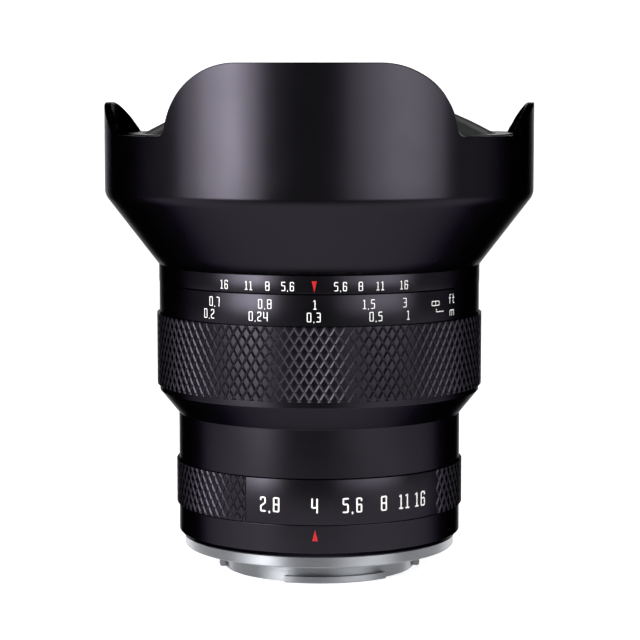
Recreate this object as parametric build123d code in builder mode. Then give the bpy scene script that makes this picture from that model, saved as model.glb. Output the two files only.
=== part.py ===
from build123d import *

import os
from math import asin, copysign, cos, degrees, radians, sin, sqrt, tan

# Fisheye lens for a mirrorless camera: a fixed petal hood, a grip ring for focus, a ring for the
# aperture and a three-claw bayonet. Millimetres and degrees.
# The origin is the centre of the flange's seat face. +Z runs along the optical axis to the front,
# and the index marks lie at -Y. Azimuths are counted from +X, so the index is at -90.

index_azimuth = -90
full_turn = 360
half_turn = 180
quarter_turn = 90

# Fits
running_clearance = 0.05
seat_clearance = 0.02
thread_clearance = 0.03
axial_play = 0.1
cut_overrun = 1.0

# Bayonet mount
flange_inset = 1.3
flange_thickness = 2.4
flange_edge_chamfer = 0.25
seat_land_width = 4.9
seat_recess_depth = 0.35
throat_depth = 5.1
neck_radius = 21.6
neck_wall = 1.8
claw_reach = 1.45
claw_thickness = 1.5
claw_chamfer = 0.3
claw_azimuths = (-108, -6, 130)
claw_sweeps = (60, 66, 62)
baffle_seat_width = 1.2
lock_slot_width = 2.2
lock_slot_length = 3.6
lock_slot_depth = 1.8
lock_slot_azimuth = 112
stop_screw_azimuth = -171
stop_screw_radius = 0.9
stop_screw_drop = 2.0
mount_screw_count = 4
mount_screw_radius = 0.8
mount_screw_head_radius = 1.65
mount_screw_sink = 0.1
mount_screw_grip = 3.0
mount_screw_azimuth = 45
mount_screw_cross_width = 0.35
mount_screw_cross_depth = 0.7

# Rear baffle
baffle_thickness = 1.2
baffle_window_width = 25.0
baffle_window_height = 19.0
baffle_window_round = 1.5

# Barrel behind the aperture ring, and the tube that carries that ring
rear_cover_height = 7.2
rear_cover_web = 4.2
rear_cover_chamfer = 1.0
rear_cover_foot = 0.2
journal_wall = 2.9
journal_gap = 1.8

# Aperture ring, with its clicks
aperture_ring_rise = 0.56
aperture_ring_wall = 2.61
aperture_ring_height = 10.05
aperture_ring_chamfer = 0.35
aperture_fastest_turn = 17.5
aperture_slowest_turn = -44.5
click_turns = (17.5, 0, -14.5, -27.4, -36.4, -44.5)
click_ball_radius = 0.6
click_ball_rise = 0.45
click_track_depth = 0.6
click_notch_depth = 0.3
click_azimuth = 60
click_spring_length = 3.6
click_spring_wire = 0.16
click_spring_turn_count = 5
click_spring_side_count = 6

# Link from the aperture ring to the iris
link_azimuth = 13.5
link_foot_sweep = 14
link_foot_height = 3.4
link_foot_lift = 3.6
link_arm_sweep = 8
link_arm_wall = 2.0
link_gap = 1.4
link_iris_gap = 3.2
link_screw_radius = 0.6
link_screw_head_radius = 1.1
link_screw_head_height = 0.7
link_screw_bite = 1.6
link_slot_margin = 1.0

# Rear barrel
rear_tube_height = 10.65
rear_cone_height = 5.25
land_height = 1.25
guide_socket_depth = 3.0

# Focus ring
grip_rise = 0.59
grip_height = 16.1
grip_chamfer = 0.3
band_height = 6.85
focus_ring_wall = 3.22
focus_bearing_height = 3.2
focus_relief_depth = 1.3
focus_near_turn = 39.4
focus_far_turn = -45.5

# Focusing drive: a nut ring turned by the grip through slots in the fixed guide sleeve
guide_wall = 2.0
nut_wall = 2.4
nut_height = 10.0
nut_lift = 6.0
helicoid_wall = 1.95
helicoid_lift = 1.0
helicoid_flange_height = 1.6
helicoid_flange_reach = 2.0
helicoid_lead = 4.0
drive_pin_count = 3
drive_pin_radius = 1.5
drive_pin_azimuth = 90
drive_pin_bite = 1.2
drive_slot_margin = 0.8
key_count = 2
key_azimuth = 0
key_sweep = 8
key_height = 5.6
key_depth = 1.2
key_play_sweep = 0.15
nut_lip_height = 1.6
nut_retainer_height = 1.8

# Depth scale ring and petal hood
scale_ring_rise = 0.08
scale_ring_height = 4.05
scale_ring_web = 2.2
hood_base_height = 2.2
hood_gap = 3.12
hood_cone_height = 15.7
hood_wall = 1.6
hood_groove_height = 0.7
hood_groove_depth = 0.25
hood_wall_height = 13.6
long_petal_height = 15.5
long_petal_half_width = 31.3
long_petal_lean_angle = 11
long_petal_corner = 15.8
short_petal_height = 7.0
short_petal_flat = 1.0
short_petal_corner = 26.0
short_arc_share = 0.5
petal_root_round = 2.0
hood_azimuth_offset = -1.3
petal_split_azimuth = 35
hood_base_gap = 1.2
hood_screw_count = 3
hood_screw_radius = 0.8
hood_screw_head_radius = 1.6
hood_screw_head_height = 1.0
hood_screw_bite = 1.8
light_trap_height = 1.6
light_trap_drop = 2.4
light_trap_gap = 0.45

# Front glass and its cell
dome_setback = 5.0
lens_1_radius = 40.5
lens_1_front_curve = 80.0
lens_1_thickness = 3.8
lens_1_rear_curve = 29.0
lens_1_rear_clear = 25.8
glass_clearance = 0.05
front_cell_wall = 3.1
front_ring_width = 0.8
front_ring_height = 0.6
front_ring_overlap = 0.6
cell_floor = 2.2

# Second and third elements
lens_2_radius = 25.4
lens_2_front_curve = 48.0
lens_2_thickness = 2.6
lens_2_rear_curve = 15.5
lens_2_rear_clear = 14.6
lens_2_seat_drop = 10.0
lens_2_ring_width = 1.2
lens_2_ring_height = 3.0
lens_3_radius = 16.5
lens_3_front_curve = 90.0
lens_3_thickness = 1.8
lens_3_rear_curve = 22.0
lens_3_rear_clear = 13.2
lens_3_seat_drop = 8.2
lens_3_ring_width = 1.6

# Cemented pair in front of the iris
lens_4_radius = 13.5
lens_4_front_curve = 26.0
lens_4_edge = 0.56
lens_4_rear_curve = -24.0
lens_5_thickness = 1.6
lens_5_rear_curve = -60.0
pair_lip_width = 1.1
pair_ring_width = 1.6
pair_ring_height = 2.8
inner_barrel_web = 1.1

# Element next to the iris
lens_6_radius = 9.5
lens_6_front_curve = 20.0
lens_6_edge = 0.66
lens_6_rear_curve = -40.0
lens_6_lip_width = 0.9
lens_6_ring_height = 1.2
barrel_floor_height = 4.1
inner_barrel_skirt = 6.0

# Iris
blade_count = 7
iris_open_radius = 4.8
iris_floor = 1.6
iris_wall = 3.6
iris_hole_margin = 0.6
fastest_stop = 2.8
slowest_stop = 16.0
blade_thickness = 0.1
blade_pitch = 0.16
blade_width = 6.2
blade_pivot_reach = 1.2
blade_sweep = 118
blade_heel_sweep = 12
blade_neck_sweep = 8
blade_lobe_width = 2.4
blade_tip_round_share = 0.25
cam_pin_reach = 0.4
cam_pin_azimuth = 30
iris_pin_radius = 0.45
cam_slot_clearance = 0.12
cam_ring_thickness = 1.2
cam_ring_inset = 0.4
cam_ring_margin = 3.8
cam_fork_gap = 0.4
cam_fork_sweep = 14
cam_fork_play_sweep = 0.15
fork_slot_margin = 1.0
link_arm_rise = 1.4
cover_thickness = 1.1
cover_lip = 1.4
cell_screw_count = 3
cell_screw_radius = 0.8
cell_screw_head_radius = 1.5
cell_screw_head_height = 0.9
cell_screw_azimuth = -60
cell_screw_bite = 1.6

# Rear cell and its glass
rear_cell_wall = 2.2
rear_cell_flange = 1.6
lens_7_radius = 8.5
lens_7_front_curve = -30.0
lens_7_thickness = 1.4
lens_7_rear_curve = 16.0
lens_7_setback = 2.4
lens_8_edge = 1.22
lens_8_rear_curve = -18.0
lens_8_lip_width = 0.9
lens_8_lip_height = 1.2
lens_7_ring_width = 1.1
lens_9_radius = 11.0
lens_9_front_curve = 24.0
lens_9_edge = 1.29
lens_9_rear_curve = -26.0
lens_10_thickness = 1.4
lens_10_rear_curve = -50.0
rear_pair_gap = 1.0
rear_spacer_width = 1.2
lens_11_step = 1.0
lens_11_front_curve = 30.0
lens_11_edge = 0.87
lens_11_rear_curve = -45.0
lens_11_gap = 5.0
rear_ring_width = 1.1
rear_ring_height = 3.2
rear_bore_step = 1.0

# Heights of the outside, added up from the seat face
flange_top = flange_thickness
rear_cover_top = flange_top + rear_cover_height
web_top = flange_top + rear_cover_web
aperture_bottom = rear_cover_top + axial_play
aperture_top = aperture_bottom + aperture_ring_height
shoulder = aperture_top + axial_play
rear_tube_top = shoulder + rear_tube_height
rear_cone_top = rear_tube_top + rear_cone_height
land_top = rear_cone_top + land_height
grip_bottom = land_top + axial_play
grip_top = grip_bottom + grip_height
band_top = grip_top + band_height
scale_bottom = band_top + axial_play
scale_top = scale_bottom + scale_ring_height
crease = scale_top + hood_cone_height
notch_floor = crease + hood_wall_height
long_petal_top = notch_floor + long_petal_height
short_petal_top = notch_floor + short_petal_height
dome_top = long_petal_top - dome_setback

# Radii of the mount, and those that follow from the iris outwards
throat_radius = neck_radius - neck_wall
claw_radius = neck_radius + claw_reach
baffle_radius = throat_radius + baffle_seat_width
iris_hole_radius = iris_open_radius + iris_hole_margin
blade_outer_radius = iris_open_radius + blade_width
blade_pivot_radius = blade_outer_radius + blade_pivot_reach
cam_pin_orbit = blade_pivot_radius + cam_pin_reach
cam_ring_bore = blade_outer_radius - cam_ring_inset
cover_bore = cam_ring_bore - cover_lip
iris_cavity_radius = cam_pin_orbit + cam_ring_margin
iris_radius = iris_cavity_radius + iris_wall
link_inner_radius = iris_radius + link_iris_gap
link_outer_radius = link_inner_radius + link_arm_wall
helicoid_bore = link_outer_radius + link_gap
helicoid_radius = helicoid_bore + helicoid_wall
nut_bore = helicoid_radius + running_clearance
nut_radius = nut_bore + nut_wall
guide_bore = nut_radius + running_clearance
guide_radius = guide_bore + guide_wall
band_radius = guide_radius + focus_ring_wall
grip_radius = band_radius + grip_rise
scale_ring_radius = band_radius + scale_ring_rise
journal_bore = link_outer_radius + journal_gap
journal_radius = journal_bore + journal_wall
mount_screw_circle = journal_radius - journal_wall / 2
aperture_bore = journal_radius + running_clearance
aperture_ring_radius = aperture_bore + aperture_ring_wall
barrel_radius = aperture_ring_radius - aperture_ring_rise
flange_radius = barrel_radius - flange_inset
seat_land_radius = flange_radius - seat_land_width
lens_11_radius = lens_9_radius + lens_11_step
front_cell_bore = lens_1_radius + glass_clearance
front_cell_radius = front_cell_bore + front_cell_wall
hood_bore = front_cell_radius + hood_gap
hood_radius = hood_bore + hood_wall


def sag(curve, radius):
    """How far a spherical face falls back at this radius; a negative curve gives a rise."""
    return copysign(abs(curve) - sqrt(curve * curve - radius * radius), curve)


def turn(section, mode=Mode.ADD):
    """Turn a half section, listed as (radius, height) points, about the optical axis."""
    with BuildSketch(Plane.XZ) as profile:
        with BuildLine():
            Polyline(*section, close=True)
        make_face()
    revolve(profile.sketch, axis=Axis.Z, mode=mode)


def ring(inner, outer, bottom, top, mode=Mode.ADD):
    """A plain ring about the optical axis."""
    turn([(inner, bottom), (outer, bottom), (outer, top), (inner, top)], mode)


def sector(inner, outer, start, sweep, bottom, top, mode=Mode.ADD):
    """A piece of a ring that runs from one azimuth through a sweep."""
    with BuildSketch(Plane.XY.offset(bottom)) as outline:
        with BuildLine():
            far = CenterArc((0, 0), outer, start, sweep)
            near = CenterArc((0, 0), inner, start, sweep)
            Line(near @ 0, far @ 0)
            Line(near @ 1, far @ 1)
        make_face()
    extrude(outline.sketch, amount=top - bottom, mode=mode)


def centre_thickness(edge, radius, front_curve, rear_curve):
    """The thickness on the axis that leaves this much at the edge."""
    return edge + sag(front_curve, radius) - sag(rear_curve, radius)


def glass(radius, front_vertex, front_curve, rear_vertex, rear_curve, rear_clear=None):
    """A lens element; past its clear radius the rear is ground flat as a seat."""
    clear = rear_clear or radius
    front = [(r, front_vertex - sag(front_curve, r)) for r in (0, radius / 2, radius)]
    rear = [(r, rear_vertex - sag(rear_curve, r)) for r in (clear, clear / 2, 0)]
    with BuildPart() as element:
        with BuildSketch(Plane.XZ):
            with BuildLine():
                ThreePointArc(*front)
                Line(front[-1], (radius, rear[0][1]))
                if rear_clear:
                    Line((radius, rear[0][1]), rear[0])
                ThreePointArc(*rear)
                Line(rear[-1], front[0])
            make_face()
        revolve(axis=Axis.Z)
    return element.part


def at(radius, azimuth, height=0):
    """The point at this radius, azimuth and height."""
    return (radius * cos(radians(azimuth)), radius * sin(radians(azimuth)), height)


def turned_about(point, pivot, angle):
    """A point in plan after a turn about a pivot."""
    x, y = point[0] - pivot[0], point[1] - pivot[1]
    c, s = cos(radians(angle)), sin(radians(angle))
    return (pivot[0] + x * c - y * s, pivot[1] + x * s + y * c)


def radial_plane(azimuth, height, radius=0):
    """A plane at this radius that faces outwards."""
    return Plane(origin=at(radius, azimuth, height), x_dir=(0, 0, 1), z_dir=at(1, azimuth))


def save(part, name):
    """Label a finished piece and write it to its own file."""
    part.label = name
    export_step(part, f"parts/{name}.step")


os.makedirs("parts", exist_ok=True)

# Lens mount: flange, throat and claws in one piece
with BuildPart() as lens_mount:
    turn([
        (throat_radius, -throat_depth),
        (neck_radius, -throat_depth),
        (neck_radius, seat_recess_depth),
        (seat_land_radius, seat_recess_depth),
        (seat_land_radius, 0),
        (flange_radius - flange_edge_chamfer, 0),
        (flange_radius, flange_edge_chamfer),
        (flange_radius, flange_top),
        (baffle_radius + seat_clearance, flange_top),
        (baffle_radius + seat_clearance, flange_top - baffle_thickness),
        (throat_radius, flange_top - baffle_thickness),
    ])
    for claw_azimuth, claw_sweep in zip(claw_azimuths, claw_sweeps):
        sector(throat_radius, claw_radius, claw_azimuth, claw_sweep,
               -throat_depth, claw_thickness - throat_depth)
    claw_edges = lens_mount.edges().filter_by(GeomType.CIRCLE).filter_by(
        lambda edge: abs(edge.radius - claw_radius) < seat_clearance
        and abs(edge.center().Z + throat_depth) < seat_clearance)
    chamfer(claw_edges, claw_chamfer)
    with Locations(Plane(origin=(0, 0, 0), z_dir=(0, 0, -1))):
        with PolarLocations(mount_screw_circle, mount_screw_count, mount_screw_azimuth):
            CounterSinkHole(mount_screw_radius + thread_clearance,
                            mount_screw_head_radius + mount_screw_sink, flange_top)
    with BuildSketch() as lock_outline:
        with Locations(at(mount_screw_circle, lock_slot_azimuth)):
            SlotOverall(lock_slot_length, lock_slot_width, lock_slot_azimuth + quarter_turn)
    extrude(lock_outline.sketch, amount=lock_slot_depth, mode=Mode.SUBTRACT)
    stop_screw_circle = (neck_radius + seat_land_radius) / 2 + stop_screw_radius / 2
    with Locations(at(stop_screw_circle, stop_screw_azimuth, seat_recess_depth)):
        Hole(stop_screw_radius + thread_clearance, flange_top)
save(lens_mount.part, "lens_mount")

# Screws that hold the mount, the rear cover and the barrel together
with BuildPart() as mount_screws:
    screw_tip = web_top + mount_screw_grip
    head_slope = mount_screw_head_radius - mount_screw_radius
    with BuildSketch(Plane.XZ) as screw_profile:
        with BuildLine():
            Polyline((0, mount_screw_sink), (mount_screw_head_radius, mount_screw_sink),
                     (mount_screw_radius, mount_screw_sink + head_slope),
                     (mount_screw_radius, screw_tip), (0, screw_tip), close=True)
        make_face()
    revolve(screw_profile.sketch, axis=Axis.Z)
    with BuildSketch(Plane.XY.offset(mount_screw_sink)) as cross:
        Rectangle(mount_screw_head_radius, mount_screw_cross_width)
        Rectangle(mount_screw_cross_width, mount_screw_head_radius)
    extrude(cross.sketch, amount=mount_screw_cross_depth, mode=Mode.SUBTRACT)
mount_screw_places = PolarLocations(mount_screw_circle, mount_screw_count, mount_screw_azimuth)
mount_screw_group = Compound([mount_screws.part.moved(place) for place in mount_screw_places])
save(mount_screw_group, "mount_screws")

# Screw that stops the bayonet's turn
with BuildPart() as bayonet_stop_screw:
    with Locations(at(stop_screw_circle, stop_screw_azimuth, seat_recess_depth - stop_screw_drop)):
        Cylinder(stop_screw_radius, stop_screw_drop + flange_top - seat_recess_depth,
                 align=(Align.CENTER, Align.CENTER, Align.MIN))
save(bayonet_stop_screw.part, "bayonet_stop_screw")

# Rear baffle, held between the mount and the rear cover
with BuildPart() as rear_baffle:
    with BuildSketch(Plane.XY.offset(flange_top - baffle_thickness)):
        Circle(baffle_radius)
        RectangleRounded(baffle_window_width, baffle_window_height, baffle_window_round,
                         mode=Mode.SUBTRACT)
    extrude(amount=baffle_thickness)
save(rear_baffle.part, "rear_baffle")

# Rear cover, the ring with the aperture index
rear_cover_bore = baffle_radius - baffle_seat_width / 2
click_circle = (journal_radius + barrel_radius) / 2
ball_height = rear_cover_top + click_ball_rise - click_ball_radius
spring_seat = ball_height - click_ball_radius - click_spring_length
with BuildPart() as rear_cover:
    turn([
        (rear_cover_bore, flange_top),
        (barrel_radius - rear_cover_chamfer, flange_top),
        (barrel_radius - rear_cover_chamfer, flange_top + rear_cover_foot),
        (barrel_radius, flange_top + rear_cover_foot + rear_cover_chamfer),
        (barrel_radius, rear_cover_top),
        (journal_radius + seat_clearance, rear_cover_top),
        (journal_radius + seat_clearance, web_top),
        (rear_cover_bore, web_top),
    ])
    with Locations((0, 0, flange_top)):
        with PolarLocations(mount_screw_circle, mount_screw_count, mount_screw_azimuth):
            Cylinder(mount_screw_radius + thread_clearance, rear_cover_web, mode=Mode.SUBTRACT,
                     align=(Align.CENTER, Align.CENTER, Align.MIN))
    with Locations(at(click_circle, click_azimuth, spring_seat)):
        Cylinder(click_ball_radius + running_clearance, rear_cover_top - spring_seat,
                 mode=Mode.SUBTRACT, align=(Align.CENTER, Align.CENTER, Align.MIN))
save(rear_cover.part, "rear_cover")

# Click ball and the spring under it
with BuildPart() as click_ball:
    with Locations(at(click_circle, click_azimuth, ball_height)):
        Sphere(click_ball_radius)
save(click_ball.part, "click_ball")

spring_orbit = click_ball_radius - click_spring_wire
spring_pitch = (click_spring_length - click_spring_wire) / click_spring_turn_count
with BuildPart() as click_spring:
    with BuildLine() as coil:
        Helix(spring_pitch, spring_pitch * click_spring_turn_count, spring_orbit,
              center=at(click_circle, click_azimuth, spring_seat + click_spring_wire / 2))
    with BuildSketch(Plane(origin=coil.line @ 0, z_dir=coil.line % 0)):
        RegularPolygon(click_spring_wire / 2, click_spring_side_count)
    sweep(is_frenet=True)
save(click_spring.part, "click_spring")

# Rear barrel: the journal for the aperture ring, the tube and the cone up to the grip
guide_socket_floor = land_top - guide_socket_depth
link_foot_bottom = aperture_bottom + link_foot_lift
link_foot_top = link_foot_bottom + link_foot_height
link_slot_start = link_azimuth + aperture_slowest_turn - link_foot_sweep / 2 - link_slot_margin
link_slot_sweep = (aperture_fastest_turn - aperture_slowest_turn + link_foot_sweep
                   + 2 * link_slot_margin)
with BuildPart() as rear_barrel:
    turn([
        (journal_bore, web_top),
        (journal_radius, web_top),
        (journal_radius, shoulder),
        (barrel_radius, shoulder),
        (barrel_radius, rear_tube_top),
        (band_radius, rear_cone_top),
        (band_radius, land_top),
        (guide_radius + seat_clearance, land_top),
        (guide_radius + seat_clearance, guide_socket_floor),
        (guide_bore, guide_socket_floor),
        (guide_bore, rear_tube_top),
        (journal_bore, rear_tube_top - rear_cone_height),
    ])
    with Locations((0, 0, web_top)):
        with PolarLocations(mount_screw_circle, mount_screw_count, mount_screw_azimuth):
            Cylinder(mount_screw_radius + thread_clearance, mount_screw_grip + axial_play,
                     mode=Mode.SUBTRACT, align=(Align.CENTER, Align.CENTER, Align.MIN))
    sector(journal_bore - cut_overrun, journal_radius + cut_overrun, link_slot_start,
           link_slot_sweep, link_foot_bottom - axial_play, link_foot_top + axial_play,
           mode=Mode.SUBTRACT)
save(rear_barrel.part, "rear_barrel")

# Aperture ring, with the click track in its rear face
track_half_width = click_ball_radius + running_clearance
with BuildPart() as aperture_ring:
    turn([
        (aperture_bore, aperture_bottom),
        (aperture_ring_radius - aperture_ring_chamfer, aperture_bottom),
        (aperture_ring_radius, aperture_bottom + aperture_ring_chamfer),
        (aperture_ring_radius, aperture_top - aperture_ring_chamfer),
        (aperture_ring_radius - aperture_ring_chamfer, aperture_top),
        (aperture_bore, aperture_top),
    ])
    ring(click_circle - track_half_width, click_circle + track_half_width,
         aperture_bottom - cut_overrun, aperture_bottom + click_track_depth, Mode.SUBTRACT)
    for click_turn in click_turns:
        with Locations(at(click_circle, click_azimuth - click_turn, aperture_bottom)):
            Cylinder(track_half_width, click_track_depth + click_notch_depth, mode=Mode.SUBTRACT,
                     align=(Align.CENTER, Align.CENTER, Align.MIN))
    with Locations(radial_plane(link_azimuth, (link_foot_bottom + link_foot_top) / 2)):
        Cylinder(link_screw_radius + thread_clearance, aperture_bore + link_screw_bite,
                 mode=Mode.SUBTRACT, align=(Align.CENTER, Align.CENTER, Align.MIN))
save(aperture_ring.part, "aperture_ring")

# Glass: each element is placed by the seat that carries it
lens_1_rear_vertex = dome_top - lens_1_thickness
seat_1 = lens_1_rear_vertex - sag(lens_1_rear_curve, lens_1_rear_clear)
lens_1 = glass(lens_1_radius, dome_top, lens_1_front_curve,
               lens_1_rear_vertex, lens_1_rear_curve, lens_1_rear_clear)
save(lens_1, "lens_1")

seat_2 = seat_1 - lens_2_seat_drop
lens_2_rear_vertex = seat_2 + sag(lens_2_rear_curve, lens_2_rear_clear)
lens_2_front_vertex = lens_2_rear_vertex + lens_2_thickness
lens_2 = glass(lens_2_radius, lens_2_front_vertex, lens_2_front_curve,
               lens_2_rear_vertex, lens_2_rear_curve, lens_2_rear_clear)
save(lens_2, "lens_2")

seat_3 = seat_2 - lens_3_seat_drop
lens_3_rear_vertex = seat_3 + sag(lens_3_rear_curve, lens_3_rear_clear)
lens_3_front_vertex = lens_3_rear_vertex + lens_3_thickness
lens_3 = glass(lens_3_radius, lens_3_front_vertex, lens_3_front_curve,
               lens_3_rear_vertex, lens_3_rear_curve, lens_3_rear_clear)
save(lens_3, "lens_3")

pair_lip_radius = lens_4_radius - pair_lip_width
pair_lip = seat_3 - inner_barrel_web
lens_4_front_vertex = pair_lip + sag(lens_4_front_curve, pair_lip_radius) - seat_clearance
lens_4_rear_vertex = lens_4_front_vertex - centre_thickness(
    lens_4_edge, lens_4_radius, lens_4_front_curve, lens_4_rear_curve)
lens_5_rear_vertex = lens_4_rear_vertex - lens_5_thickness
lens_4 = glass(lens_4_radius, lens_4_front_vertex, lens_4_front_curve,
               lens_4_rear_vertex, lens_4_rear_curve)
save(lens_4, "lens_4")
lens_5 = glass(lens_4_radius, lens_4_rear_vertex, lens_4_rear_curve,
               lens_5_rear_vertex, lens_5_rear_curve)
save(lens_5, "lens_5")

pair_ring_radius = lens_4_radius - pair_ring_width
pair_ring_top = lens_5_rear_vertex - sag(lens_5_rear_curve, pair_ring_radius) - seat_clearance
pair_ring_bottom = pair_ring_top - pair_ring_height
lens_6_front_vertex = pair_ring_bottom - seat_recess_depth
lens_6_rear_vertex = lens_6_front_vertex - centre_thickness(
    lens_6_edge, lens_6_radius, lens_6_front_curve, lens_6_rear_curve)
lens_6 = glass(lens_6_radius, lens_6_front_vertex, lens_6_front_curve,
               lens_6_rear_vertex, lens_6_rear_curve)
save(lens_6, "lens_6")

lens_6_lip_radius = lens_6_radius - lens_6_lip_width
lens_6_lip = lens_6_front_vertex - sag(lens_6_front_curve, lens_6_lip_radius) + seat_clearance
lens_6_ring_top = lens_6_rear_vertex - sag(lens_6_rear_curve, lens_6_lip_radius) - seat_clearance
iris_top = lens_6_ring_top - lens_6_ring_height
cover_bottom = iris_top - cover_thickness
cam_ring_top = cover_bottom - axial_play
cam_ring_bottom = cam_ring_top - cam_ring_thickness
blade_stack = blade_pitch * (blade_count - 1) + blade_thickness
iris_floor_top = cam_ring_bottom - axial_play - blade_stack - blade_pitch
iris_bottom = iris_floor_top - iris_floor

lens_7_front_vertex = iris_bottom - lens_7_setback
lens_7_rear_vertex = lens_7_front_vertex - lens_7_thickness
lens_8_rear_vertex = lens_7_rear_vertex - centre_thickness(
    lens_8_edge, lens_7_radius, lens_7_rear_curve, lens_8_rear_curve)
lens_7 = glass(lens_7_radius, lens_7_front_vertex, lens_7_front_curve,
               lens_7_rear_vertex, lens_7_rear_curve)
save(lens_7, "lens_7")
lens_8 = glass(lens_7_radius, lens_7_rear_vertex, lens_7_rear_curve,
               lens_8_rear_vertex, lens_8_rear_curve)
save(lens_8, "lens_8")

lens_9_front_vertex = lens_8_rear_vertex - rear_pair_gap
lens_9_rear_vertex = lens_9_front_vertex - centre_thickness(
    lens_9_edge, lens_9_radius, lens_9_front_curve, lens_9_rear_curve)
lens_10_rear_vertex = lens_9_rear_vertex - lens_10_thickness
lens_9 = glass(lens_9_radius, lens_9_front_vertex, lens_9_front_curve,
               lens_9_rear_vertex, lens_9_rear_curve)
save(lens_9, "lens_9")
lens_10 = glass(lens_9_radius, lens_9_rear_vertex, lens_9_rear_curve,
                lens_10_rear_vertex, lens_10_rear_curve)
save(lens_10, "lens_10")

lens_11_front_vertex = lens_10_rear_vertex - lens_11_gap
lens_11_rear_vertex = lens_11_front_vertex - centre_thickness(
    lens_11_edge, lens_11_radius, lens_11_front_curve, lens_11_rear_curve)
lens_11 = glass(lens_11_radius, lens_11_front_vertex, lens_11_front_curve,
                lens_11_rear_vertex, lens_11_rear_curve)
save(lens_11, "lens_11")

# Front cell: carries the domed glass and the two behind it, and hangs on the helicoid sleeve
lens_1_edge = dome_top - sag(lens_1_front_curve, lens_1_radius)
front_cell_top = lens_1_edge + front_ring_height
front_ring_radius = front_cell_bore + front_ring_width
shelf_1_bore = lens_2_radius + glass_clearance
shelf_2_bore = lens_3_radius + glass_clearance
front_cell_floor = seat_1 - cell_floor
helicoid_top = seat_3 + helicoid_flange_height
helicoid_flange_radius = helicoid_radius + helicoid_flange_reach
spigot_radius = helicoid_bore - seat_clearance
with BuildPart() as front_cell:
    turn([
        (front_cell_bore, seat_1),
        (front_cell_bore, lens_1_edge),
        (front_ring_radius + seat_clearance, lens_1_edge),
        (front_ring_radius + seat_clearance, front_cell_top),
        (front_cell_radius, front_cell_top),
        (front_cell_radius, front_cell_floor),
        (helicoid_flange_radius, seat_2 - cell_floor),
        (helicoid_flange_radius, helicoid_top),
        (spigot_radius, helicoid_top),
        (spigot_radius, seat_3),
        (shelf_2_bore, seat_3),
        (shelf_2_bore, seat_2),
        (shelf_1_bore, seat_2),
        (shelf_1_bore, seat_1),
    ])
save(front_cell.part, "front_cell")

# Ring that holds the domed glass, and the ones behind it
front_ring_bore = lens_1_radius - front_ring_overlap
with BuildPart() as front_retaining_ring:
    turn([
        (front_ring_bore, dome_top - sag(lens_1_front_curve, front_ring_bore) + seat_clearance),
        (lens_1_radius, lens_1_edge + seat_clearance),
        (front_ring_radius, lens_1_edge + seat_clearance),
        (front_ring_radius, front_cell_top),
        (front_ring_bore, front_cell_top),
    ])
save(front_retaining_ring.part, "front_retaining_ring")

lens_2_ring_bore = lens_2_radius - lens_2_ring_width
lens_2_ring_edge = lens_2_front_vertex - sag(lens_2_front_curve, lens_2_radius) + seat_clearance
with BuildPart() as lens_2_retaining_ring:
    turn([
        (lens_2_ring_bore, lens_2_front_vertex - sag(lens_2_front_curve, lens_2_ring_bore)
         + seat_clearance),
        (lens_2_radius, lens_2_ring_edge),
        (lens_2_radius, lens_2_ring_edge + lens_2_ring_height),
        (lens_2_ring_bore, lens_2_ring_edge + lens_2_ring_height),
    ])
save(lens_2_retaining_ring.part, "lens_2_retaining_ring")

lens_3_ring_bore = lens_3_radius - lens_3_ring_width
with BuildPart() as lens_3_spacer:
    turn([
        (lens_3_ring_bore, lens_3_front_vertex - sag(lens_3_front_curve, lens_3_ring_bore)
         + seat_clearance),
        (lens_3_radius, lens_3_front_vertex - sag(lens_3_front_curve, lens_3_radius)
         + seat_clearance),
        (lens_3_radius, seat_2),
        (lens_3_ring_bore, seat_2),
    ])
save(lens_3_spacer.part, "lens_3_spacer")

# Inner barrel: carries the cemented pair and the element next to the iris
pair_bore = lens_4_radius + glass_clearance
iris_wall_centre = (iris_radius + iris_cavity_radius) / 2
lens_6_bore = lens_6_radius + glass_clearance
barrel_floor_top = iris_top + barrel_floor_height
with BuildPart() as inner_barrel:
    turn([
        (pair_lip_radius, seat_3),
        (spigot_radius, seat_3),
        (spigot_radius, seat_3 - inner_barrel_skirt),
        (iris_radius, seat_3 - inner_barrel_skirt),
        (iris_radius, iris_top),
        (lens_6_bore, iris_top),
        (lens_6_bore, lens_6_lip),
        (lens_6_lip_radius, lens_6_lip),
        (lens_6_lip_radius, barrel_floor_top),
        (pair_bore, barrel_floor_top),
        (pair_bore, pair_lip),
        (pair_lip_radius, pair_lip),
    ])
    with Locations((0, 0, iris_top)):
        with PolarLocations(iris_wall_centre, cell_screw_count, cell_screw_azimuth):
            Cylinder(cell_screw_radius + thread_clearance, cell_screw_bite + axial_play,
                     mode=Mode.SUBTRACT, align=(Align.CENTER, Align.CENTER, Align.MIN))
save(inner_barrel.part, "inner_barrel")

with BuildPart() as pair_retaining_ring:
    turn([
        (pair_ring_radius, pair_ring_bottom),
        (lens_4_radius, pair_ring_bottom),
        (lens_4_radius, lens_5_rear_vertex - sag(lens_5_rear_curve, lens_4_radius)
         - seat_clearance),
        (pair_ring_radius, pair_ring_top),
    ])
save(pair_retaining_ring.part, "pair_retaining_ring")

with BuildPart() as lens_6_retaining_ring:
    turn([
        (lens_6_lip_radius, iris_top),
        (lens_6_radius, iris_top),
        (lens_6_radius, lens_6_rear_vertex - sag(lens_6_rear_curve, lens_6_radius)
         - seat_clearance),
        (lens_6_lip_radius, lens_6_ring_top),
    ])
save(lens_6_retaining_ring.part, "lens_6_retaining_ring")

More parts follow.
